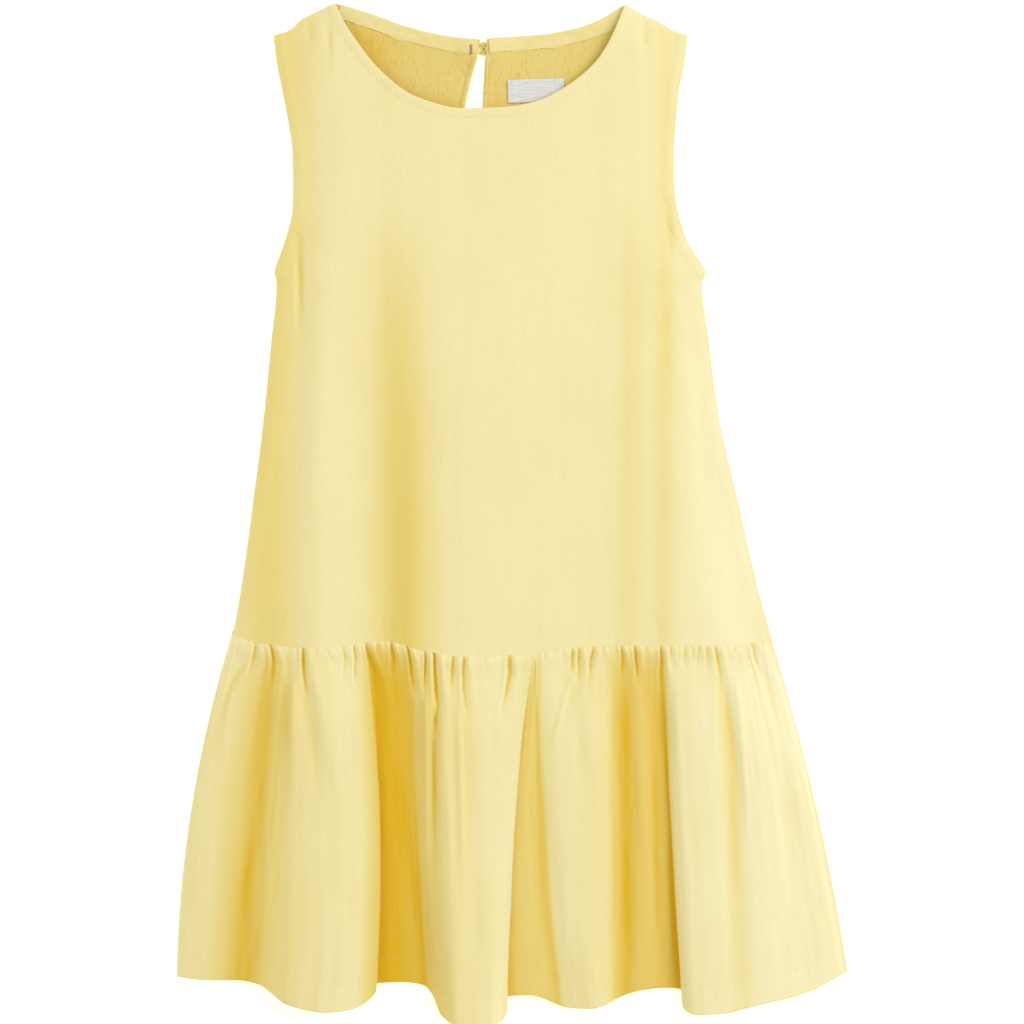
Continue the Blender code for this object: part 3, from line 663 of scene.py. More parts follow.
def smooth_through(places, values):
    """A smooth rule through given values that never swings past them."""
    places = np.asarray(places, float)
    values = np.asarray(values, float)
    gaps = np.diff(places)
    slopes = np.diff(values) / gaps
    leans = np.empty(len(places))
    leans[0] = slopes[0]
    leans[-1] = slopes[-1]
    before = slopes[:-1]
    after = slopes[1:]
    same_way = before * after > 0
    weight_before = gaps[:-1] + 2 * gaps[1:]
    weight_after = 2 * gaps[:-1] + gaps[1:]
    safe_before = np.where(same_way, before, 1.0)
    safe_after = np.where(same_way, after, 1.0)
    blended = (weight_before + weight_after) / (weight_before / safe_before + weight_after / safe_after)
    leans[1:-1] = np.where(same_way, blended, 0.0)

    def rule(at):
        at = np.clip(at, places[0], places[-1])
        span = np.clip(np.searchsorted(places, at, side="right") - 1, 0, len(gaps) - 1)
        wide = gaps[span]
        share = (at - places[span]) / wide
        start = values[span] * (1 + 2 * share) * (1 - share) ** 2
        end = values[span + 1] * share**2 * (3 - 2 * share)
        start_lean = leans[span] * wide * share * (1 - share) ** 2
        end_lean = leans[span + 1] * wide * share**2 * (share - 1)
        return start + end + start_lean + end_lean

    return rule


def curve_through(points, step):
    """Points about a step apart on a smooth curve through given points, both ends kept."""
    points = np.asarray(points, float)
    along = lengths_along(points)
    across = smooth_through(along, points[:, 0])
    up = smooth_through(along, points[:, 1])
    stops = np.linspace(0.0, along[-1], max(2, int(round(along[-1] / step)) + 1))
    return np.stack([across(stops), up(stops)], axis=1)


def ease(share):
    """0 to 1 with a soft start and end."""
    share = np.clip(share, 0.0, 1.0)
    return share * share * (3 - 2 * share)


def bump(off):
    """A round hump, 1 in the middle and almost 0 two units away."""
    return np.exp(-off * off)


def rolled(away, reach):
    """How far cloth has rolled down at its edge: 1 at the edge itself and 0 past the reach."""
    return 1 - np.sqrt(np.clip(away / reach, 0.0, 1.0))


def edge_rule(rows, side):
    return smooth_through(column(rows, EDGE_COLUMNS, "height"), column(rows, EDGE_COLUMNS, side))


side_left = edge_rule(SIDE_ROWS, "left")
side_right = edge_rule(SIDE_ROWS, "right")
arm_left = edge_rule(ARMHOLE_ROWS, "left")
arm_right = edge_rule(ARMHOLE_ROWS, "right")
waist_height = smooth_through(*zip(*WAIST_SEAM))


def left_edge(height):
    return np.where(height < UNDERARM, side_left(height), arm_left(height))


def right_edge(height):
    return np.where(height < UNDERARM, side_right(height), arm_right(height))


def soft_noise(x, y, wide, tall, draw):
    """Smooth uneven values from -1 to 1 over the cloth, in lumps of the given width and length."""
    draws = np.random.default_rng(draw).uniform(-1.0, 1.0, (NOISE_CELLS, NOISE_CELLS))
    across = np.asarray(x, float) / wide + NOISE_START
    up = np.asarray(y, float) / tall + NOISE_START
    left = np.floor(across).astype(int)
    low = np.floor(up).astype(int)
    share_x = ease(across - left)
    share_y = ease(up - low)

    def corner(row, side):
        return draws[(low + row) % NOISE_CELLS, (left + side) % NOISE_CELLS]

    bottom = corner(0, 0) + (corner(0, 1) - corner(0, 0)) * share_x
    top = corner(1, 0) + (corner(1, 1) - corner(1, 0)) * share_x
    return bottom + (top - bottom) * share_y


class Edge:
    """A line on the cloth that tells how far places lie from it."""

    def __init__(self, points):
        self.points = np.asarray(points, float)
        self.tree = kdtree.KDTree(len(self.points))
        for number, (x, y) in enumerate(self.points):
            self.tree.insert((x, y, 0.0), number)
        self.tree.balance()

    def away(self, x, y):
        shape = np.shape(x)
        place = np.stack([np.ravel(x), np.ravel(y)], axis=1)
        near = np.array([self.tree.find((a, b, 0.0))[1] for a, b in place])
        last = len(self.points) - 1
        best = np.full(len(place), np.inf)
        for first in (np.clip(near - 1, 0, last - 1), np.clip(near, 0, last - 1)):
            start = self.points[first]
            run = self.points[first + 1] - start
            share = np.clip(((place - start) * run).sum(axis=1) / (run * run).sum(axis=1), 0.0, 1.0)
            best = np.minimum(best, np.hypot(*(place - start - run * share[:, None]).T))
        return best.reshape(shape)


def armhole(edge):
    heights = np.arange(UNDERARM, ARMHOLE_ROWS[-1][0], LINE_STEP)
    return np.stack([edge(heights), heights], axis=1)


front_neck_line = Edge(curve_through(FRONT_NECK, NECK_LINE_STEP))
back_neck_line = Edge(curve_through(BACK_NECK, NECK_LINE_STEP))
arm_lines = (Edge(armhole(arm_left)), Edge(armhole(arm_right)))
waist_places = np.arange(WAIST_SEAM[0][0], WAIST_SEAM[-1][0] + LINE_STEP, LINE_STEP)
waist_line = Edge([(x, waist_height(x)) for x in waist_places])


def under_shoulder(shoulder, x, y):
    """How far a place lies below the straight line between a shoulder's ends."""
    (start_x, start_y), (end_x, end_y) = shoulder[0], shoulder[-1]
    return start_y + (end_y - start_y) / (end_x - start_x) * (x - start_x) - y


def bodice_front_height(x, y):
    """The height of the upper face of the front bodice."""
    from_side = np.minimum(x - left_edge(y), right_edge(y) - x)
    under = np.minimum(under_shoulder(LEFT_SHOULDER, x, y), under_shoulder(RIGHT_SHOULDER, x, y))
    fullness = ease(from_side / RISE_WIDTH) * ease(under / SHOULDER_FALL)
    above_waist = (y - waist_height(x)) / WAIST_BULK_REACH
    closed = ease(np.minimum(from_side, under) / CLOSED_EDGE_ROLL)
    height = CLOSED_EDGE_TOP + (OPEN_EDGE_TOP - CLOSED_EDGE_TOP) * closed
    height = height + (BODICE_RISE + WAIST_BULK * bump(above_waist)) * fullness
    for neck_x, neck_y in (FRONT_NECK[0], FRONT_NECK[-1]):
        height = height + NECK_BULK * bump(np.hypot(x - neck_x, y - neck_y) / NECK_BULK_REACH)
    up = np.clip((y - FOLDS_START) / FOLDS_RUN, 0.0, FOLDS_END_SHARE) ** FOLDS_FADE
    for fold in named(BODICE_FOLD_COLUMNS, BODICE_FOLDS):
        off = (x - fold["waist_x"] - (fold["chest_x"] - fold["waist_x"]) * up) / fold["width"]
        rise = fold["waist_rise"] + (fold["chest_rise"] - fold["waist_rise"]) * up
        height = height + rise * fullness * bump(off)
    return height


def back_lift(x, y):
    """How far the back bodice is lifted by the button under its neck edge."""
    away = np.hypot(x - BUTTON_CENTRE[0], y - BUTTON_CENTRE[1])
    return BUTTON_LIFT * (1 - ease((away - LIFT_FLAT) / LIFT_REACH))


def beside_line(x, y, line, widening=0.0):
    """How far along a bowed line the places lie, 0 to 1, and how many half widths to its right."""
    along = (y - line["from_y"]) / (line["to_y"] - line["from_y"])
    held = np.clip(along, 0.0, 1.0)
    bowed = line.get("bend", 0.0) * 4 * held * (1 - held)
    middle = line["from_x"] + (line["to_x"] - line["from_x"]) * held + bowed
    return along, (x - middle) / (line["width"] * (1 + widening * held))


def creased(x, y, creases, start):
    """The rise of listed creases at places on the cloth. A higher start makes them begin more abruptly."""
    total = np.zeros(np.shape(x))
    for crease in creases:
        along, off = beside_line(x, y, crease)
        total += crease["rise"] * ease(along * start) * ease((1 - along) * CREASE_END) * bump(off)
    return total


def front_creases(x, y):
    even = creased(x, y, named(CREASE_COLUMNS, FRONT_CREASES), FRONT_CREASE_START)
    return even * (1 + CREASE_UNEVEN * soft_noise(x, y, *CREASE_LUMP, 15))


def crinkle(x, y):
    """The cotton's own crinkle: slender broken ribs that run up the cloth."""
    total = 0.0
    for rib in named(CRINKLE_COLUMNS, CRINKLE):
        total = total + rib["height"] * soft_noise(x, y, rib["width"], rib["length"], rib["draw"])
    return total


def turned_share(away, stitch_in):
    """1 where an edge is turned under, as far as its row of stitching, and 0 past it."""
    return 1 - ease((away - stitch_in + BAND_SLOPE / 2) / BAND_SLOPE)


def stitched_band(away, stitch_in, x, y):
    """A turned edge: a second layer under the cloth as far as its row of stitching, which pulls a groove."""
    band = BAND_EXTRA * turned_share(away, stitch_in)
    groove = STITCH_DIP * bump((away - stitch_in) / STITCH_DIP_WIDTH)
    pucker = PUCKER * soft_noise(x + y, x - y, PUCKER_SIZE, PUCKER_SIZE, 21)
    return band - groove + pucker * bump((away - stitch_in) / PUCKER_REACH)


def rim_round(away):
    """The last of the cloth rolls down at a cut or turned edge."""
    return -RIM_FALL * rolled(away, RIM_ROUND)


def front_bodice_relief(x, y):
    neck = front_neck_line.away(x, y)
    relief = crinkle(x, y) * ease(neck / CRINKLE_EDGE_FADE) + front_creases(x, y)
    relief += stitched_band(neck, NECK_STITCH_IN, x, y)
    for line in arm_lines:
        relief += stitched_band(line.away(x, y), ARM_STITCH_IN, x, y)
    waist = bump(waist_line.away(x, y) / WAIST_PUCKER_REACH)
    relief += WAIST_PUCKER * soft_noise(x, y, *WAIST_PUCKER_SIZE, 22) * waist
    return relief + rim_round(neck)


def front_bodice_form(x, y):
    return np.stack([x, y, bodice_front_height(x, y)], axis=-1)


def back_bodice_form(x, y):
    return np.stack([x, y, BACK_TOP + back_lift(x, y)], axis=-1)


def back_bodice_relief(x, y):
    seen = ease((y - BACK_SEEN_FROM + BACK_SEEN_FADE) / BACK_SEEN_FADE)
    slubs = SLUB_RISE * ease(soft_noise(x, y, *SLUB_SIZE, 14) * SLUB_SHARPNESS - SLUB_LEAST)
    neck = rim_round(back_neck_line.away(x, y))
    return (crinkle(x, y) + slubs) * seen + neck


def surface(form, relief, across, up):
    """Places on a cloth: its form first, and its relief stood off square to the form."""
    run = form(across + SURFACE_STEP, up) - form(across - SURFACE_STEP, up)
    rise = form(across, up + SURFACE_STEP) - form(across, up - SURFACE_STEP)
    square = np.cross(run, rise)
    square /= np.linalg.norm(square, axis=-1, keepdims=True)
    return form(across, up) + relief(across, up)[..., None] * square


def inside(points, rim):
    """Which of the points lie inside the closed rim."""
    rim = np.asarray(rim, float)
    x = points[:, 0]
    y = points[:, 1]
    found = np.zeros(len(points), bool)
    for (ax, ay), (bx, by) in zip(rim, np.roll(rim, -1, axis=0)):
        if ay == by:
            continue
        crosses = (ay > y) != (by > y)
        found ^= crosses & (x < ax + (bx - ax) * (y - ay) / (by - ay))
    return found


def staggered(low, high, step):
    """Points in staggered rows from a low corner to a high one."""
    found = []
    for row, y in enumerate(np.arange(low[1], high[1], step[1])):
        xs = np.arange(low[0] + step[0] / 2 * (row % 2), high[0], step[0])
        found.append(np.stack([xs, np.full(len(xs), y)], axis=1))
    return np.concatenate(found)


def rings_inside(rim, distances):
    """Rings of points at the given distances inside the rim, none nearer to it than its own distance."""
    rim = np.asarray(rim, float)
    run = np.roll(rim, -1, axis=0) - np.roll(rim, 1, axis=0)
    run /= np.hypot(*run.T)[:, None]
    inward = np.stack([-run[:, 1], run[:, 0]], axis=1)
    line = Edge(np.concatenate([rim, rim[:1]]))
    found = []
    for number, distance in enumerate(distances):
        ring = (rim + inward * distance)[number % 2 :: 1 + (distance > RIM_STEP)]
        ring = ring[inside(ring, rim)]
        found.append(ring[line.away(*ring.T) > RING_SHARE * distance])
    return np.concatenate(found), line


def edge_points(edge, low, high):
    """Points on one side of the dress from a low to a high place on it."""
    heights = np.linspace(low, high, max(2, int(round((high - low) / RIM_STEP)) + 1))
    return np.stack([edge(heights), heights], axis=1)


def bodice_rim(neck, inset):
    """The rim of a bodice piece, anticlockwise from the left end of the waist seam."""
    seam_start = WAIST_SEAM[0][0] + SEAM_END_LEFT + inset
    xs = np.arange(seam_start, WAIST_SEAM[-1][0] - SEAM_END_RIGHT - inset, RIM_STEP)
    seam = np.stack([xs, waist_height(xs) + SEAM_GAP / 2], axis=1)
    left_shoulder = curve_through(LEFT_SHOULDER, RIM_STEP)[::-1][1:-1] - (0.0, inset)
    right_shoulder = curve_through(RIGHT_SHOULDER, RIM_STEP)[::-1][1:-1] - (0.0, inset)
    right = edge_points(
        lambda y: right_edge(y) - inset, seam[-1][1] + RIM_STEP, RIGHT_SHOULDER[-1][1] - inset
    )
    left = edge_points(lambda y: left_edge(y) + inset, seam[0][1] + RIM_STEP, LEFT_SHOULDER[0][1] - inset)
    return np.concatenate([seam, right, right_shoulder, neck, left_shoulder, left[::-1]])


def neck_with_slit():
    """The back neck edge from right to left, going down and round the slit."""
    edge = curve_through(BACK_NECK, RIM_STEP)
    right = edge[edge[:, 0] > SLIT_RIGHT[-1][0] + SLIT_CLEAR]
    left = edge[edge[:, 0] < SLIT_LEFT[0][0] - SLIT_CLEAR]
    down = curve_through(SLIT_RIGHT[::-1], RIM_STEP)
    up = curve_through(SLIT_LEFT[::-1], RIM_STEP)
    return np.concatenate([right[::-1], down, up[1:], left[::-1]])


def linear(code):
    """An sRGB hex colour in linear light."""
    parts = [int(code[at : at + 2], 16) / 255 for at in (1, 3, 5)]
    return (*[part / 12.92 if part <= 0.04045 else ((part + 0.055) / 1.055) ** 2.4 for part in parts], 1.0)


def add_node(tree, kind, inputs=None, **settings):
    """Adds one node with its settings. Each input is a value, or another node's output to link."""
    made = tree.nodes.new(kind)
    for name, value in settings.items():
        setattr(made, name, value)
    for name, value in (inputs or {}).items():
        if isinstance(value, bpy.types.NodeSocket):
            tree.links.new(value, made.inputs[name])
        else:
            made.inputs[name].default_value = value
    return made


MIX_SHARE, MIX_FIRST, MIX_SECOND, MIX_RESULT = 0, 6, 7, 2


def mix_colours(tree, share, first, second, blend="MIX"):
    inputs = {MIX_SHARE: share, MIX_FIRST: first, MIX_SECOND: second}
    mixed = add_node(tree, "ShaderNodeMix", inputs, data_type="RGBA", blend_type=blend)
    return mixed.outputs[MIX_RESULT]


def cloth_pattern(tree, wide, tall, detail=2.0):
    """Uneven values in lumps of a real width and length in mm, along the cloth's own weave."""
    place = add_node(tree, "ShaderNodeUVMap", uv_map="cloth").outputs["UV"]
    scale = (1 / (wide * MM), 1 / (tall * MM), 1.0)
    place = add_node(tree, "ShaderNodeMapping", {"Vector": place, "Scale": scale}).outputs["Vector"]
    noise = add_node(
        tree, "ShaderNodeTexNoise", {"Vector": place, "Scale": 1.0, "Detail": detail}, noise_dimensions="2D"
    )
    return noise.outputs["Fac"]


def share_between(tree, value, low, high, to_low=0.0, to_high=1.0):
    ranged = add_node(
        tree,
        "ShaderNodeMapRange",
        {"Value": value, "From Min": low, "From Max": high, "To Min": to_low, "To Max": to_high},
    )
    return ranged.outputs["Result"]


def new_material(name):
    made = bpy.data.materials.new(name)
    made.use_nodes = True
    return made, made.node_tree, made.node_tree.nodes["Principled BSDF"]


def placed(name, data):
    """An object for a mesh, curve, light or camera, in the scene."""
    made = bpy.data.objects.new(name, data)
    bpy.context.scene.collection.objects.link(made)
    return made


def finished_mesh(maker):
    """The mesh that an object shows with its modifiers or its bevel."""
    bpy.context.view_layer.update()
    return bpy.data.meshes.new_from_object(maker.evaluated_get(bpy.context.evaluated_depsgraph_get()))


def net_faces(shape):
    """The four-sided faces between neighbouring places of a net of rows."""
    number = np.arange(shape[0] * shape[1]).reshape(shape)
    corners = [number[1:, :-1], number[1:, 1:], number[:-1, 1:], number[:-1, :-1]]
    return np.stack([corner.ravel() for corner in corners], axis=1).tolist()


def crinkled_cotton(name, pale, middle, deep, slub_colour, slub_share):
    """Soft butter-yellow cotton, piece dyed and crinkled in the wash, so that it is matt, with slender ribs
    along the warp and short slubs. Its colour is painted deeper by the fold attribute, as painted shade in
    its folds. The threads lie 0.3 mm apart, too fine to show here, so the ribs are drawn 1.6 mm apart as the
    crinkle has them."""
    made, tree, shader = new_material(name)
    ribs = cloth_pattern(tree, 1.6, 11.0)
    threads = cloth_pattern(tree, 0.8, 3.0, 1.0)
    slubs = share_between(tree, cloth_pattern(tree, 2.1, 7.0, 1.0), 0.60, 0.74)
    clouds = cloth_pattern(tree, 60.0, 90.0)
    # Painted shade: the fold attribute turns the colour from pale through middle to deep
    fold = add_node(tree, "ShaderNodeAttribute", attribute_name="fold").outputs["Fac"]
    colour = mix_colours(tree, share_between(tree, fold, 0.0, 0.5), linear(pale), linear(middle))
    colour = mix_colours(tree, share_between(tree, fold, 0.5, 1.0), colour, linear(deep))
    colour = mix_colours(tree, share_between(tree, ribs, 0.35, 0.7, 0.0, 0.04), colour, linear(deep))
    colour = mix_colours(tree, share_between(tree, clouds, 0.35, 0.65, 0.0, 0.05), colour, linear(deep))
    slub_part = share_between(tree, slubs, 0.0, 1.0, 0.0, slub_share)
    colour = mix_colours(tree, slub_part, colour, linear(slub_colour))
    tree.links.new(colour, shader.inputs["Base Color"])
    height = add_node(
        tree, "ShaderNodeMath", {0: ribs, 1: share_between(tree, threads, 0.0, 1.0, 0.0, 0.5)},
        operation="ADD",
    ).outputs[0]
    height = add_node(
        tree, "ShaderNodeMath", {0: height, 1: share_between(tree, slubs, 0.0, 1.0, 0.0, -0.4)},
        operation="ADD",
    ).outputs[0]
    grain = add_node(tree, "ShaderNodeBump", {"Height": height, "Strength": 0.35, "Distance": 0.25 * MM})
    tree.links.new(grain.outputs["Normal"], shader.inputs["Normal"])
    tree.links.new(share_between(tree, threads, 0.3, 0.7, 0.78, 0.92), shader.inputs["Roughness"])
    shader.inputs["Specular IOR Level"].default_value = 0.25
    shader.inputs["Sheen Weight"].default_value = 0.12
    shader.inputs["Sheen Roughness"].default_value = 0.5
    return made


def sewing_thread(name, colour, shade):
    """Spun polyester thread, dyed to match: a soft gleam and a fine slanting twist. The twist is 0.4 mm in
    the real thread and is drawn at 0.9 mm so that it shows."""
    made, tree, shader = new_material(name)
    place = add_node(tree, "ShaderNodeTexCoord").outputs["Object"]
    wave = add_node(
        tree, "ShaderNodeTexWave",
        {"Vector": place, "Scale": 1 / (0.9 * MM) / (2 * math.pi), "Distortion": 1.5},
        bands_direction="DIAGONAL",
    ).outputs["Fac"]
    colour = mix_colours(tree, wave, linear(colour), linear(shade))
    tree.links.new(colour, shader.inputs["Base Color"])
    shader.inputs["Roughness"].default_value = 0.55
    shader.inputs["Sheen Weight"].default_value = 0.2
    return made


def woven_satin(name, pale, shade):
    """Damask label tape, woven in white polyester satin: smooth, with a cool gleam and fine cross ribs. The
    ribs are 0.25 mm in the real tape and are drawn at 0.8 mm so that they show."""
    made, tree, shader = new_material(name)
    ribs = cloth_pattern(tree, 9.0, 0.8, 1.0)
    warp = cloth_pattern(tree, 0.8, 6.0, 1.0)
    colour = mix_colours(tree, share_between(tree, ribs, 0.3, 0.7), linear(pale), linear(shade))
    tree.links.new(colour, shader.inputs["Base Color"])
    height = add_node(tree, "ShaderNodeMath", {0: ribs, 1: warp}, operation="ADD").outputs[0]
    grain = add_node(tree, "ShaderNodeBump", {"Height": height, "Strength": 0.3, "Distance": 0.1 * MM})
    tree.links.new(grain.outputs["Normal"], shader.inputs["Normal"])
    tree.links.new(share_between(tree, warp, 0.3, 0.7, 0.38, 0.52), shader.inputs["Roughness"])
    shader.inputs["Sheen Weight"].default_value = 0.1
    return made


def dyed_resin(name, colour, shade):
    """Cast polyester button resin, dyed yellow right through and tumbled to a gloss, with faint clouds."""
    made, tree, shader = new_material(name)
    place = add_node(tree, "ShaderNodeTexCoord").outputs["Object"]
    clouds = add_node(tree, "ShaderNodeTexNoise", {"Vector": place, "Scale": 1 / (2.5 * MM), "Detail": 3.0})
    clouds = clouds.outputs["Fac"]
    tree.links.new(mix_colours(tree, clouds, linear(colour), linear(shade)), shader.inputs["Base Color"])
    tree.links.new(share_between(tree, clouds, 0.3, 0.7, 0.22, 0.34), shader.inputs["Roughness"])
    shader.inputs["IOR"].default_value = 1.54
    shader.inputs["Coat Weight"].default_value = 0.3
    return made


def cloth_mesh(name, places, cuts, faces, folds, wall, material):
    """A sheet of cloth from its places, where each lay on the flat cut, and the painted shade of its folds.
    """
    mesh = bpy.data.meshes.new(name)
    mesh.from_pydata((np.asarray(places) * MM).tolist(), [], faces)
    corners = np.empty(len(mesh.loops), int)
    mesh.loops.foreach_get("vertex_index", corners)
    mesh.uv_layers.new(name="cloth").data.foreach_set("uv", (np.asarray(cuts)[corners] * MM).ravel())
    mesh.attributes.new("fold", "FLOAT", "POINT").data.foreach_set("value", np.asarray(folds, float))
    mesh.materials.append(material)
    mesh.shade_smooth()
    piece = placed(name, mesh)
    thick = piece.modifiers.new("wall", "SOLIDIFY")
    thick.thickness = wall * MM
    thick.offset = -1.0
    thick.use_even_offset = False
    solid = finished_mesh(piece)
    piece.modifiers.clear()
    piece.data = solid
    solid.name = name
    lie_on_table(solid)
    solid.set_sharp_from_angle(angle=EDGE_ANGLE)
    return piece


def lie_on_table(mesh):
    """The underside is pressed flat where it touches the table."""
    points = np.empty(3 * len(mesh.vertices))
    mesh.vertices.foreach_get("co", points)
    points[2::3] = np.maximum(points[2::3], TABLE_CLEAR * MM)
    mesh.vertices.foreach_set("co", points)


def cut_piece(name, rim, inner, form, relief, folds, wall, material):
    """A piece of cloth from its rim and the points inside it, joined flat and then raised."""
    points = [Vector(point) for point in np.concatenate([rim, inner])]
    flat, _, faces, *_ = delaunay_2d_cdt(points, [], [list(range(len(rim)))], 1, 1e-6)
    flat = np.array(flat)
    places = surface(form, relief, flat[:, 0], flat[:, 1])
    return cloth_mesh(name, places, flat, faces, folds(flat[:, 0], flat[:, 1]), wall, material)


def sewn(piece, slot, *nodes):
    """A finished piece takes the place of its plain solids."""
    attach(piece, "root")
    if nodes:
        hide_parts(*nodes)
    return piece


def front_bodice_painted_shade(x, y):
    """How much shade is painted into the front's colour, 0 to 1, over an even base tone."""
    up = np.clip((y - FOLDS_START) / FOLDS_RUN, 0.0, 1.0) ** FOLDS_FADE
    total = np.full(np.shape(x), BODICE_BASE_TONE)
    for painted_shade in named(BODICE_SHADE_COLUMNS, BODICE_PAINTED_SHADES):
        off = (x - painted_shade["waist_x"] - (painted_shade["chest_x"] - painted_shade["waist_x"]) * up) / painted_shade["width"]
        total += (painted_shade["waist_shade"] + (painted_shade["chest_shade"] - painted_shade["waist_shade"]) * up) * bump(off)
    # Painted shade in the creases that sink the cloth
    total += CREASE_PAINTED_SHADE * np.clip(-front_creases(x, y), 0.0, CREASE_SHADE_DEPTH)
    return np.clip(total, 0.0, 1.0)


def back_bodice_painted_shade(x, y):
    """Painted shade on the inside of the back: deeper in the corner at the left and close under the front's
    neck edge, where shade falls.
    """
    off_x = (x - NECK_CORNER[0]) / NECK_CORNER_REACH[0]
    off_y = (y - NECK_CORNER[1]) / NECK_CORNER_REACH[1]
    corner = NECK_CORNER_PAINTED_SHADE * bump(np.hypot(off_x, off_y))
    under_front = UNDER_FRONT_PAINTED_SHADE * bump(front_neck_line.away(x, y) / UNDER_FRONT_REACH)
    return np.clip(BODICE_BASE_TONE + corner + under_front, 0.0, 1.0)


def bodice_piece(name, rim, divided, rings, form, relief, folds, cotton):
    """One piece of the bodice. Its rings lie along the rim, and the points that it is divided into within."""
    ring_points, line = rings_inside(rim, rings)
    inner = divided[inside(divided, rim)]
    inner = inner[line.away(*inner.T) > rings[-1] + INNER_CLEAR * FRONT_STEP[0]]
    return cut_piece(name, rim, np.concatenate([ring_points, inner]), form, relief, folds, CLOTH, cotton)


def make_front_bodice(cotton):
    rim = bodice_rim(curve_through(FRONT_NECK, RIM_STEP)[::-1], 0.0)
    divided = staggered(rim.min(axis=0), rim.max(axis=0), FRONT_STEP)
    piece = bodice_piece(
        "front_bodice_cloth", rim, divided, RIM_RINGS, front_bodice_form, front_bodice_relief,
        front_bodice_painted_shade, cotton,
    )
    sewn(piece, "bodice_cotton", "front_bodice")


def make_back_bodice(cotton):
    rim = bodice_rim(neck_with_slit(), BACK_INSET)
    coarse = staggered(rim.min(axis=0), rim.max(axis=0), BACK_STEP)
    coarse = coarse[coarse[:, 1] < BACK_SEEN_FROM]
    fine = staggered((rim[:, 0].min(), BACK_SEEN_FROM), rim.max(axis=0), BACK_SEEN_STEP)
    piece = bodice_piece(
        "back_bodice_cloth", rim, np.concatenate([coarse, fine]), RIM_RINGS[:BACK_RINGS], back_bodice_form,
        back_bodice_relief, back_bodice_painted_shade, cotton,
    )
    sewn(piece, "bodice_cotton", "back_bodice")


def bodice_lower_edge():
    """The height of the front bodice's lower edge at places along the seam."""
    across = np.arange(WAIST_SEAM[0][0], WAIST_SEAM[-1][0], LOWER_EDGE_STEP)
    up = waist_height(across) + SEAM_GAP / 2
    height = bodice_front_height(across, up) + front_bodice_relief(across, up)
    return lambda x: np.interp(x, across, height)


def smoothed(grid, reach):
    """Each row of a grid of heights, evened out over a number of columns."""
    far = 2 * reach
    spread = np.exp(-((np.arange(-far, far + 1) / reach) ** 2))
    padded = np.pad(grid, ((0, 0), (far, far)), mode="edge")
    return np.stack([np.convolve(row, spread / spread.sum(), mode="valid") for row in padded])


class Skirt:
    """A gathered tier. Its cut is flat, with the distance along the cloth at the hem as one measure and the
    distance down from the seam as the other, evened out so that the hem is straight."""

    def __init__(self, folds, seam_top, edge_top, gather):
        hem = list(zip(column(folds, FOLD_COLUMNS, "hem_x"), column(folds, FOLD_COLUMNS, "hem_z")))
        self.lines = lengths_along(hem)
        self.rules = {
            name: smooth_through(self.lines, column(folds, FOLD_COLUMNS, name)) for name in FOLD_COLUMNS
        }
        self.seam_top = seam_top
        self.edge_top = edge_top
        self.gather = gather
        self.width = float(self.lines[-1])

    def form(self, cloth, up):
        """Where the cloth lies, as x, y and height. Up is minus the distance down from the seam."""
        rules = self.rules
        seam_x = rules["seam_x"](cloth)
        share = np.clip(-up / TIER_LENGTH, 0.0, 1.0)
        length = waist_height(seam_x) - SEAM_GAP / 2 - rules["hem_y"](cloth)
        down = share * length - np.maximum(up, 0.0)
        curl = 2 * (seam_x + rules["hem_x"](cloth) - 2 * rules["half_x"](cloth))
        x = seam_x + (rules["hem_x"](cloth) - seam_x - curl) * share + curl * share * share
        y = waist_height(seam_x) - SEAM_GAP / 2 - down
        top = self.seam_top(seam_x)
        half_z = rules["half_z"](cloth)
        early = ease(-up / FOLD_OPENING)
        late = np.clip(2 * share - 1, 0.0, 1.0)
        z = top + (half_z - top) * early + (rules["hem_z"](cloth) - half_z) * late
        side = ease(np.minimum(cloth, self.width - cloth) / CLOSED_EDGE_ROLL)
        z = self.edge_top + (z - self.edge_top) * side
        return np.stack([x, y, self.gather(z, x, y, down)], axis=-1)

    def painted_shade(self, places, cloth, up, rows):
        """Painted shade in the cloth's colour, 0 to 1: by its fold and in the grooves of the gathers, over a
        base tone.
        """
        grid = places[:, 2].reshape(rows, -1)
        folds = self.rules["painted_shade"](cloth) * (1 - np.exp(np.minimum(up, 0.0) / FOLD_SHADE_OPENING))
        total = SKIRT_BASE_TONE + folds + SKIRT_TONE_UNEVEN * soft_noise(cloth, up, *SKIRT_TONE_LUMP, 35)
        from_side = ease(np.minimum(cloth, self.width - cloth) / GROOVE_SHADE_SIDE_FADE)
        for groove in named(GROOVE_SHADE_COLUMNS, GROOVE_PAINTED_SHADES):
            sunk = (smoothed(grid, groove["reach"]) - grid).ravel()
            total += groove["most"] * from_side * ease(sunk / groove["depth"])
        return np.clip(total, 0.0, 1.0)


def seam_fade(x):
    """Gathers die out towards the side seams."""
    return ease(np.minimum(x - WAIST_SEAM[0][0], WAIST_SEAM[-1][0] - x) / GATHER_SIDE_FADE)


def uneven(place, most):
    """An amount up to the most either way that changes from place to place."""
    return most * math.sin(UNEVEN_PACE * place)


def gather_row(x, length, width, depth):
    """A straight gather down from the seam at x."""
    seam = float(waist_height(x))
    return (x, seam + GATHER_ABOVE_SEAM, x, seam - length, 0.0, width, depth)


def all_front_gathers():
    """The listed gathers with small ones where they leave room, from left to right."""
    found = list(FRONT_GATHERS)
    ends = sorted([WAIST_SEAM[0][0]] + column(FRONT_GATHERS, GATHER_COLUMNS, "from_x") + [WAIST_SEAM[-1][0]])
    for left, right in zip(ends[:-1], ends[1:]):
        spare = int((right - left) / SMALL_GATHER_SPACE)
        for number in range(1, spare):
            x = left + (right - left) * number / spare
            size = 1 + uneven(x, UNEVEN_SIZE)
            found.append(
                gather_row(x, SMALL_GATHER_LENGTH * size, SMALL_GATHER_WIDTH, SMALL_GATHER_DEPTH * size)
            )
    return found


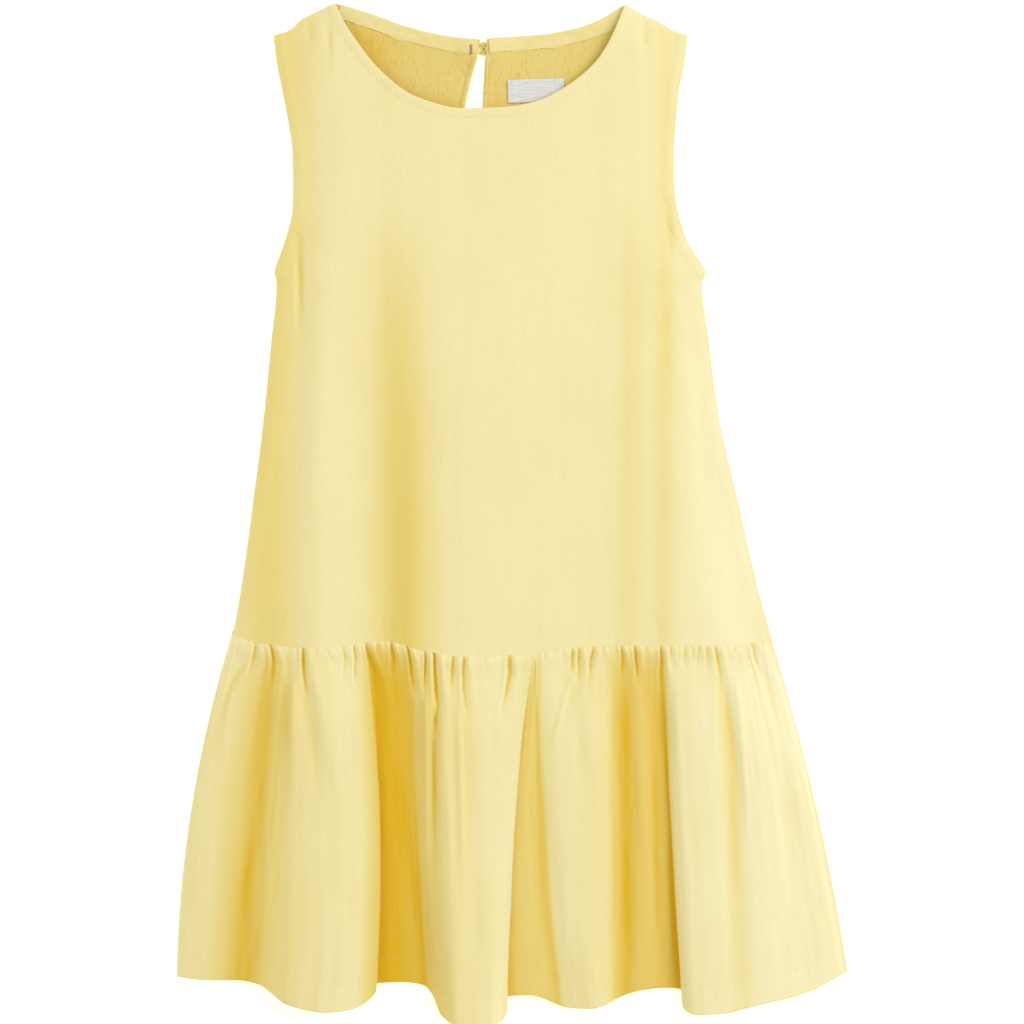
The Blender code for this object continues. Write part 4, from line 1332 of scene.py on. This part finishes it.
def all_back_gathers():
    left = WAIST_SEAM[0][0]
    right = WAIST_SEAM[-1][0]
    count = int((right - left) / BACK_GATHER_SPACE)
    found = []
    for number in range(1, count):
        x = left + (right - left) * (number + uneven(number, UNEVEN_SPACE)) / count
        length = BACK_GATHER_LENGTH * (1 + uneven(x, UNEVEN_SIZE))
        found.append(gather_row(x, length, 2 * SMALL_GATHER_WIDTH, BACK_GATHER_DEPTH))
    return found


def crease_line(off):
    """A groove with a tight bottom and round shoulders, 1 in the middle."""
    return np.exp(GROOVE_STEEP * (GROOVE_ROUND - np.sqrt(off * off + GROOVE_ROUND**2)))


def sunk_by(gathers, x, y, down):
    """How far the gathers sink the cloth, with a low lip on each side of a groove."""
    sunk = np.zeros(np.shape(x))
    lips = np.zeros(np.shape(x))
    stray = GATHER_STRAY * soft_noise(x, y, *GATHER_STRAY_SIZE, 34) * ease(down / GATHER_STRAY_START)
    for gather in named(GATHER_COLUMNS, gathers):
        along, off = beside_line(x + stray, y, gather, GATHER_WIDENING)
        off = np.where(off > 0, off / GROOVE_LEAN, off * GROOVE_LEAN)
        along = np.clip(along, 0.0, 1.0)
        fade = gather["depth"] * (1 - along) ** GATHER_FADE * (1 - along**GATHER_END)
        sunk = np.maximum(sunk, fade * crease_line(off))
        lip = bump((np.abs(off) - GATHER_LIP_PLACE) / GATHER_LIP_WIDTH)
        lips = np.maximum(lips, GATHER_LIP * fade * lip)
    opening = GATHER_AT_SEAM + (1 - GATHER_AT_SEAM) * ease(down / GATHER_OPENING)
    return (sunk - lips) * opening * seam_fade(x)


def long_creases(x, y):
    """The rise of the skirt's long soft creases."""
    return creased(x, y, named(SKIRT_CREASE_COLUMNS, SKIRT_CREASES), SKIRT_CREASE_START)


def front_gathered(gathers):
    """The front's gathers sink from its height but stay clear of the back, and its top tucks under the
    bodice."""

    def height(z, x, y, down):
        room = np.maximum(z - FRONT_LEAST, LEAST_ROOM)
        sunk = sunk_by(gathers, x, y, down) - long_creases(x, y)
        sunk = np.where(sunk > 0, room * (1 - np.exp(-sunk / room)), sunk)
        tuck = np.where(down < -SEAM_GAP / 2, TUCK_SINK, SEAM_TOP_SINK)
        puff = PUFF_RISE * bump((down - PUFF_PLACE) / PUFF_REACH) * ease(down / PUFF_START)
        return z - sunk - tuck * ease(1 - down / SINK_REACH) + puff * seam_fade(x)

    return height


def back_gathered(gathers):
    """The back's gathers stand up from the table between the grooves."""

    def height(z, x, y, down):
        fade = ease(np.clip(1 - down / BACK_GATHER_LENGTH, 0.0, 1.0)) * seam_fade(x)
        return z + np.maximum(0.0, BACK_GATHER_DEPTH * fade - sunk_by(gathers, x, y, down))

    return height


def skirt_rows(coarse):
    """Distances down the tier, close together at the seam and at the hem's stitching."""
    body = [np.arange(start, end, step * coarse) for start, end, step in SKIRT_STRETCHES]
    stitch = TIER_LENGTH - HEM_STITCH_IN + np.array(STITCH_ROWS)
    return np.concatenate([SEAM_ROWS, *body, stitch, TIER_LENGTH - np.array(HEM_ROWS)])


def skirt_grid(skirt, columns, rows):
    """The flat cut as a net, its columns shared out between seam and hem."""
    fine = np.linspace(0.0, skirt.width, SKIRT_FINE_PLACES)
    seam_x = skirt.rules["seam_x"](fine)
    measure = fine / skirt.width + (seam_x - seam_x[0]) / (seam_x[-1] - seam_x[0])
    cloth = np.interp(np.linspace(0.0, measure[-1], columns), measure, fine)
    across, down = np.meshgrid(cloth, rows)
    return across.ravel(), -down.ravel(), net_faces(across.shape)


def lumps(cloth, up, height, width, length, draw, start):
    """Soft lumps of a tier, which start some way below the seam."""
    return height * soft_noise(cloth, up, width, length, draw) * ease(-up / start)


def skirt_relief(skirt, scale):
    """The tier's crinkle, its lumps and patches of wrinkles, and the groove of the hem's stitching."""

    def relief(cloth, up):
        from_hem = TIER_LENGTH + up
        off = from_hem - HEM_STITCH_IN
        turned = HEM_EXTRA * turned_share(from_hem, HEM_STITCH_IN)
        groove = HEM_STITCH_DIP * bump(off / STITCH_DIP_WIDTH)
        pucker = HEM_PUCKER * soft_noise(cloth, up, *HEM_PUCKER_SIZE, 31) * bump(off / HEM_PUCKER_REACH)
        soft = sum(lumps(cloth, up, **lump) for lump in named(SKIRT_LUMP_COLUMNS, SKIRT_LUMPS))
        patches = ease(WRINKLE_SPREAD + soft_noise(cloth, up, *WRINKLE_PATCH, 36))
        soft = soft + patches * lumps(cloth, up, *SKIRT_WRINKLES)
        soft = soft * ease(np.minimum(cloth, skirt.width - cloth) / LUMP_SIDE_FADE)
        even = crinkle(cloth, up) * ease(-up / CRINKLE_START)
        return scale * (even + soft + turned - groove + pucker) + rim_round(from_hem)

    return relief


def make_skirt(name, skirt, columns, rows, relief, cotton):
    cloth, up, faces = skirt_grid(skirt, columns, rows)
    places = surface(skirt.form, relief, cloth, up)
    cuts = np.stack([cloth, up], axis=1)
    return cloth_mesh(name, places, cuts, faces, skirt.painted_shade(places, cloth, up, len(rows)), CLOTH, cotton)


def make_skirts(cotton):
    """The front tier hangs from the bodice's lower edge, and the back one lies on the table."""
    front = Skirt(FRONT_FOLDS, bodice_lower_edge(), CLOSED_EDGE_TOP, front_gathered(all_front_gathers()))
    back = Skirt(
        BACK_FOLDS, lambda x: np.full(np.shape(x), BACK_TOP), BACK_TOP, back_gathered(all_back_gathers())
    )
    front_piece = make_skirt(
        "front_skirt_cloth", front, FRONT_SKIRT_COLUMNS, skirt_rows(1.0), skirt_relief(front, 1.0), cotton
    )
    back_piece = make_skirt(
        "back_skirt_cloth", back, BACK_SKIRT_COLUMNS, skirt_rows(BACK_SKIRT_COARSE),
        skirt_relief(back, BACK_SKIRT_RELIEF), cotton,
    )
    sewn(front_piece, "skirt_cotton", "front_skirt")
    sewn(back_piece, "skirt_cotton", "back_skirt")
    return front


def beside(points, distance):
    """The points moved to the right of the way they run."""
    points = np.asarray(points, float)
    run = np.gradient(points, axis=0)
    run /= np.hypot(*run.T)[:, None]
    return points + np.asarray(distance)[..., None] * np.stack([run[:, 1], -run[:, 0]], axis=1)


def make_strip(name, edge, width, overhang, roll, cotton, node):
    """A narrow strip of cloth on the inside of the back, to the right of the way its edge runs."""
    across = np.array(STRIP_ROWS) * width / STRIP_ROWS[-1]
    along = lengths_along(edge)
    waver = STRIP_WAVER * soft_noise(along, 0 * along, STRIP_WAVER_SIZE, STRIP_WAVER_SIZE, 42)
    rows = np.stack([beside(edge, far - overhang + waver * far / NECK_STRIP_WIDTH) for far in across])
    x = rows[..., 0]
    y = rows[..., 1]
    inward = across[:, None] + 0 * x
    run = along[None, :] + 0 * x
    wave = STRIP_WAVE * soft_noise(run, inward, *STRIP_WAVE_SIZE, 41) * ease(inward / STRIP_WAVE_START)
    falls = roll * rolled(inward, STRIP_ROLL_REACH)
    falls += STRIP_FREE_FALL * rolled(width - inward, STRIP_FREE_REACH)
    stitched = width * STRIP_STITCH_IN / NECK_STRIP_WIDTH
    groove = STRIP_GROOVE * bump((inward - stitched) / STRIP_GROOVE_WIDTH)
    z = BACK_TOP + back_lift(x, y) + STRIP + LAYER_GAP + wave - falls - groove
    places = np.stack([x.ravel(), y.ravel(), z.ravel()], axis=1)
    cuts = np.stack([run.ravel(), -inward.ravel()], axis=1)
    folds = STRIP_TONE * (1 + soft_noise(*cuts.T, *STRIP_TONE_SIZE, 43))
    piece = cloth_mesh(name, places, cuts, net_faces(x.shape), folds, STRIP, cotton)
    sewn(piece, "facing_cotton", node)


def round_slit(step):
    """Down the left side of the slit and up its right side."""
    return np.concatenate([curve_through(SLIT_LEFT, step), curve_through(SLIT_RIGHT, step)[1:]])


def make_strips(cotton, shaded_slit_cotton):
    """The bias strips turned in along the back neck, and the narrow strip round the slit."""
    neck = curve_through(BACK_NECK, STRIP_STEP)
    x = neck[:, 0]
    left = neck[(x > BACK_NECK[0][0] + NECK_END_CLEAR) & (x < SLIT_LEFT[0][0] - STRIP_END_CLEAR)]
    right = neck[(x > SLIT_RIGHT[-1][0] + STRIP_END_CLEAR) & (x < BACK_NECK[-1][0] - NECK_END_CLEAR)]
    for side, edge in (("left", left), ("right", right)):
        make_strip(
            "neck_strip_" + side, edge, NECK_STRIP_WIDTH, NECK_STRIP_OVERHANG, NECK_STRIP_ROLL, cotton,
            "back_neck_facing_" + side,
        )
    slit = round_slit(STRIP_STEP)
    slit = slit[slit[:, 1] < SLIT_STRIP_TOP]
    make_strip(
        "slit_strip", slit, SLIT_STRIP_WIDTH, SLIT_STRIP_OVERHANG, SLIT_STRIP_ROLL, shaded_slit_cotton, "slit_facing"
    )


def make_label(tape):
    """The bare woven label: a folded tape that curls a little, sewn down along its short ends."""
    across, up = np.meshgrid(np.linspace(0.0, 1.0, LABEL_COLUMNS), np.linspace(0.0, 1.0, LABEL_ROWS))
    side = np.minimum(across, 1 - across) * LABEL_WIDTH
    edge = np.minimum(up, 1 - up) * LABEL_HEIGHT
    turn = np.array(Matrix.Rotation(LABEL_TILT, 2))
    flat = np.stack([across.ravel() * LABEL_WIDTH, up.ravel() * LABEL_HEIGHT], axis=1)
    place = flat @ turn.T + LABEL_CORNER
    sag = LABEL_SAG * bump((across - 0.5) / LABEL_SAG_REACH)
    curl = LABEL_CURL * (up - LABEL_CURL_FROM) * bump((across - LABEL_CURL_PLACE) / LABEL_CURL_REACH)
    ends = LABEL_END * (1 - ease((side - LABEL_END_WIDTH) / LABEL_END_SLOPE))
    stitched = LABEL_STITCH * bump((side - LABEL_STITCH_IN) / LABEL_STITCH_WIDTH)
    rim = LABEL_RIM * rolled(np.minimum(side, edge), LABEL_RIM_REACH)
    ripple = soft_noise(across * LABEL_WIDTH, up * LABEL_HEIGHT, LABEL_RIPPLE_SIZE, LABEL_RIPPLE_SIZE, 51)
    rise = sag + curl + ends - stitched - rim + LABEL_RIPPLE * ripple
    places = np.concatenate([place, (BACK_TOP + LAYER_GAP + LABEL_HIGH + rise).ravel()[:, None]], axis=1)
    faces = [face[::-1] for face in net_faces(across.shape)]
    piece = cloth_mesh("bare_label", places, flat, faces, np.zeros(len(places)), LABEL_WALL, tape)
    sewn(piece, "label_tape", "neck_label")


def thread_mesh(name, starts, ends, heights, bow, thick, material, slot):
    """Short stitches, each a little bowed rod of thread from a start to an end, joined in one mesh."""
    places = []
    faces = []
    turns = np.linspace(0.0, 2 * math.pi, STITCH_SIDES, endpoint=False)
    for start, end, (low, high) in zip(starts, ends, heights):
        run = Vector((end[0] - start[0], end[1] - start[1], high - low))
        along = run.normalized()
        side = along.cross(Vector((0.0, 0.0, 1.0))).normalized()
        over = side.cross(along)
        first = len(places)
        for section in named(STITCH_COLUMNS, STITCH_SECTIONS):
            middle = Vector((start[0], start[1], low)) + run * section["along"]
            middle += over * (section["lift"] * bow)
            for turn in turns:
                outward = side * math.cos(turn) + over * math.sin(turn)
                places.append((middle + outward * (thick * section["size"])) * MM)
        last = first + (len(STITCH_SECTIONS) - 1) * STITCH_SIDES
        for ring in range(first, last, STITCH_SIDES):
            for number in range(STITCH_SIDES):
                a = ring + number
                b = ring + (number + 1) % STITCH_SIDES
                faces.append((a, b, b + STITCH_SIDES, a + STITCH_SIDES))
        faces.append(tuple(range(first, first + STITCH_SIDES))[::-1])
        faces.append(tuple(range(last, last + STITCH_SIDES)))
    mesh = bpy.data.meshes.new(name)
    mesh.from_pydata(places, [], faces)
    mesh.materials.append(material)
    mesh.shade_smooth()
    sewn(placed(name, mesh), slot)


def stitch_row(name, route, over_cloth, thick, material, slot):
    """A row of topstitching along a route on a cloth's flat cut."""
    along = lengths_along(route)
    first = np.arange(STITCH_START, along[-1] - STITCH_SPACE, STITCH_SPACE)
    begin = over_cloth(*[np.interp(first, along, part) for part in route.T])
    end = over_cloth(*[np.interp(first + STITCH_LENGTH, along, part) for part in route.T])
    heights = np.stack([begin[:, 2], end[:, 2]], axis=1) + thick / 2
    thread_mesh(name, begin[:, :2], end[:, :2], heights, STITCH_BOW, thick, material, slot)


def on_front_bodice(x, y):
    return surface(front_bodice_form, front_bodice_relief, x, y)


def make_stitching(front_skirt, thread):
    neck = beside(curve_through(FRONT_NECK, LINE_STEP)[::-1], -NECK_STITCH_IN)
    neck = neck[neck[:, 0] > FRONT_NECK[0][0] + NECK_STITCH_END]
    neck = neck[neck[:, 0] < FRONT_NECK[-1][0] - NECK_STITCH_END]
    stitch_row("front_neck_stitches", neck, on_front_bodice, THREAD_ROUND, thread, "bodice_cotton")
    for name, edge, way in (("left", arm_left, 1), ("right", arm_right, -1)):
        row = beside(armhole(edge), way * ARM_STITCH_IN)
        row = row[row[:, 1] < ARM_STITCH_TOP]
        stitch_row(name + "_armhole_stitches", row, on_front_bodice, THREAD_ROUND, thread, "bodice_cotton")
    cloth = np.arange(HEM_STITCH_END, front_skirt.width - HEM_STITCH_END, HEM_STITCH_STEP)
    hem = np.stack([cloth, np.full(len(cloth), HEM_STITCH_IN - TIER_LENGTH)], axis=1)
    relief = skirt_relief(front_skirt, 1.0)

    def on_skirt(cloth, up):
        return surface(front_skirt.form, relief, cloth, up)

    stitch_row("hem_stitches", hem, on_skirt, HEM_THREAD_ROUND, thread, "skirt_cotton")


def on_strip(x, y):
    height = BACK_TOP + back_lift(x, y) + STRIP + LAYER_GAP - STITCH_SINK
    return np.stack([x, y, height], axis=-1)


def make_strip_stitching(thread):
    neck = curve_through(BACK_NECK, LINE_STEP)
    row = beside(neck, STRIP_STITCH_IN)
    left = neck[:, 0] > BACK_NECK[0][0] + STRIP_STITCH_END
    left &= row[:, 0] < SLIT_LEFT[0][0] - STRIP_STITCH_SLIT_LEFT
    right = neck[:, 0] < BACK_NECK[-1][0] - STRIP_STITCH_END
    right &= row[:, 0] > SLIT_RIGHT[-1][0] + STRIP_STITCH_SLIT_RIGHT
    slit = round_slit(LINE_STEP)
    slit = beside(slit[slit[:, 1] < SLIT_STRIP_TOP - SLIT_STITCH_END], SLIT_STITCH_IN)
    routes = (
        ("neck_strip_stitches_left", row[left]),
        ("neck_strip_stitches_right", row[right]),
        ("slit_stitches", slit),
    )
    for name, route in routes:
        stitch_row(name, route, on_strip, THREAD_ROUND, thread, "facing_cotton")


def make_tack(thread):
    """The bar of close stitches that holds the end of the loop to the neck strip."""
    ys = np.arange(TACK_LOW, TACK_HIGH, TACK_STEP)
    starts = np.stack([np.full(len(ys), TACK_LEFT), ys], axis=1)
    ends = np.stack([np.full(len(ys), TACK_RIGHT), ys + TACK_SLANT], axis=1)
    height = BACK_TOP + float(back_lift(*TACK_MIDDLE)) + STRIP + LAYER_GAP + TACK_RISE
    heights = np.full((len(ys), 2), height)
    thread_mesh("loop_tack", starts, ends, heights, TACK_BOW, TACK_ROUND, thread, "loop_thread")


def tube_along(name, route, radius, sides, material):
    """A thread along a route of places in mm, with closed ends."""
    curve = bpy.data.curves.new(name, "CURVE")
    curve.dimensions = "3D"
    curve.bevel_depth = radius * MM
    curve.bevel_resolution = sides
    curve.use_fill_caps = True
    spline = curve.splines.new("POLY")
    spline.points.add(len(route) - 1)
    for point, place in zip(spline.points, route):
        point.co = (*[part * MM for part in place], 1.0)
    maker = placed(name, curve)
    mesh = finished_mesh(maker)
    bpy.data.objects.remove(maker, do_unlink=True)
    mesh.materials.clear()
    mesh.materials.append(material)
    mesh.shade_smooth()
    return mesh


def choose(*pieces):
    """Selects these pieces alone, the first of them active."""
    bpy.ops.object.select_all(action="DESELECT")
    for piece in pieces:
        piece.select_set(True)
    bpy.context.view_layer.objects.active = pieces[0]


def joined(name, meshes):
    """Several meshes as one piece."""
    pieces = [placed(name, mesh) for mesh in meshes]
    choose(*pieces)
    bpy.ops.object.join()
    return pieces[0]


def make_loop(thread):
    """The thread loop, its strands twisted round one another."""
    route = curve_through(LOOP_ROUTE, LOOP_STEP)
    away = LOOP_ROUND * STRAND_AWAY
    meshes = []
    for strand in range(STRANDS):
        turn = np.arange(len(route)) * LOOP_TWIST + strand * 2 * math.pi / STRANDS
        flat = beside(route, away * np.cos(turn))
        place = np.concatenate([flat, (LOOP_HEIGHT + away * np.sin(turn))[:, None]], axis=1)
        meshes.append(tube_along("button_loop_thread", place, LOOP_ROUND * STRAND_ROUND, 3, thread))
    sewn(joined("button_loop_thread", meshes), "loop_thread", "button_loop")


def make_button(resin):
    """The button: a turned disc with a rolled rim, a hollow middle and two thread holes."""
    bpy.ops.object.select_all(action="DESELECT")
    bpy.ops.mesh.primitive_circle_add(vertices=4, radius=MM, location=(0.0, 0.0, 0.0))
    maker = bpy.context.active_object
    mesh = bpy.data.meshes.new("turned_button")
    points = [(far * MM, 0.0, high * MM) for far, high in BUTTON_PROFILE]
    mesh.from_pydata(points, [(number, number + 1) for number in range(len(points) - 1)], [])
    maker.data = mesh
    turn = maker.modifiers.new("turn", "SCREW")
    turn.steps = BUTTON_STEPS
    turn.render_steps = BUTTON_STEPS
    turn.use_merge_vertices = True
    turn.merge_threshold = 0.01 * MM
    bpy.ops.object.modifier_apply(modifier="turn")
    for way in (-1, 1):
        place = (way * HOLE_ACROSS * MM, 0.0, 0.0)
        bpy.ops.mesh.primitive_cylinder_add(
            vertices=HOLE_SIDES, radius=HOLE_ROUND * MM, depth=HOLE_DEEP * MM, location=place
        )
        hole = bpy.context.active_object
        cut = maker.modifiers.new("hole", "BOOLEAN")
        cut.operation = "DIFFERENCE"
        cut.object = hole
        choose(maker)
        bpy.ops.object.modifier_apply(modifier="hole")
        bpy.data.objects.remove(hole, do_unlink=True)
    maker.data.transform(Matrix.Translation((BUTTON_CENTRE[0] * MM, BUTTON_CENTRE[1] * MM, 0.0)))
    maker.data.materials.clear()
    maker.data.materials.append(resin)
    maker.data.shade_smooth()
    bpy.ops.object.shade_smooth_by_angle(angle=BUTTON_ANGLE)
    maker.name = "round_button"
    sewn(maker, "button_resin", "back_button")


def make_button_threads(thread):
    """Three strands of thread from hole to hole."""
    meshes = []
    for number in range(STRANDS):
        y = BUTTON_CENTRE[1] + (number - 1) * BUTTON_THREAD_SPACE
        left = [(BUTTON_CENTRE[0] - far, y, high) for far, high in BUTTON_THREAD]
        right = [(BUTTON_CENTRE[0] + far, y, high) for far, high in BUTTON_THREAD[::-1]]
        meshes.append(tube_along("button_threads", left + right, BUTTON_THREAD_ROUND, 2, thread))
    sewn(joined("button_threads", meshes), "loop_thread")


def make_camera():
    """Straight above, as a long lens sees it, with the neck at the top."""
    data = bpy.data.cameras.new("camera")
    data.sensor_width = SENSOR
    data.lens = SENSOR * CAMERA_DISTANCE / SEEN_WIDTH
    data.clip_end = 20.0
    camera = placed("camera", data)
    camera.location = (CAMERA_PLACE[0] * MM, CAMERA_PLACE[1] * MM, CAMERA_HEIGHT * MM)
    bpy.context.scene.camera = camera


def make_floor():
    """A plain white board that glows a little, as a lit photographer's table does."""
    made, _, shader = new_material("white_board")
    shader.inputs["Base Color"].default_value = linear("#F4F4F4")
    shader.inputs["Roughness"].default_value = 0.9
    shader.inputs["Emission Color"].default_value = (1.0, 1.0, 1.0, 1.0)
    shader.inputs["Emission Strength"].default_value = 0.5
    mesh = bpy.data.meshes.new("floor")
    corners = [(x * FLOOR_REACH, y * FLOOR_REACH, 0.0) for x, y in ((-1, -1), (1, -1), (1, 1), (-1, 1))]
    mesh.from_pydata(corners, [], [(0, 1, 2, 3)])
    mesh.materials.append(made)
    floor = placed("floor", mesh)
    floor.location = (0.0, 0.0, -FLOOR_DROP * MM)


def make_light(name, place, size, power, colour):
    data = bpy.data.lights.new(name, "AREA")
    data.shape = "SQUARE"
    data.size = size
    data.energy = power
    data.color = colour
    light = placed(name, data)
    light.location = place
    light.rotation_euler = Vector(place).to_track_quat("Z", "Y").to_euler()


def make_lights():
    """A large soft key from the right and above, a weaker fill from the left, and an even white room."""
    make_light("key", (1.8, 0.9, 1.75), 1.7, 36.0, (1.0, 0.995, 0.98))
    make_light("fill", (-1.9, -0.3, 1.5), 1.8, 10.5, (1.0, 0.975, 0.7))
    world = bpy.data.worlds.new("room")
    bpy.context.scene.world = world
    world.use_nodes = True
    world.node_tree.nodes["Background"].inputs["Color"].default_value = (1.0, 0.98, 0.88, 1.0)
    world.node_tree.nodes["Background"].inputs["Strength"].default_value = 0.55


def main():
    bpy.context.scene.view_settings.view_transform = "Standard"
    make_camera()
    make_floor()
    make_lights()
    cotton = crinkled_cotton("crinkled_cotton", "#FEF7CE", "#F4E190", "#E8BD22", "#EFDB85", 0.06)
    # A darker copy of the same cotton: its deeper colours are painted shade for the inside of the back and
    # the slit strip, seen in the shade of the front; its stronger slubs are its own
    shaded_inside_cotton = crinkled_cotton(
        "crinkled_cotton_inside_painted_shade", "#EEDA90", "#ECCC62", "#E8BE42", "#CFAF50", 0.34
    )
    facing_cotton = crinkled_cotton("facing_cotton", "#F7EAB0", "#F0DC88", "#E6C75A", "#DDC068", 0.1)
    thread = sewing_thread("matched_thread", "#FAEBB2", "#E8D07C")
    loop_thread = sewing_thread("loop_thread", "#EFE96E", "#D3C746")
    tack_thread = sewing_thread("tack_thread", "#CDB45E", "#A98F45")
    satin = woven_satin("bare_satin_tape", "#ECECF0", "#DCDCE1")
    resin = dyed_resin("yellow_resin", "#F7EEB0", "#E8DA86")
    make_front_bodice(cotton)
    make_back_bodice(shaded_inside_cotton)
    front_skirt = make_skirts(cotton)
    make_strips(facing_cotton, shaded_inside_cotton)
    make_label(satin)
    make_stitching(front_skirt, thread)
    make_strip_stitching(thread)
    make_tack(tack_thread)
    make_loop(loop_thread)
    make_button(resin)
    make_button_threads(loop_thread)


main()
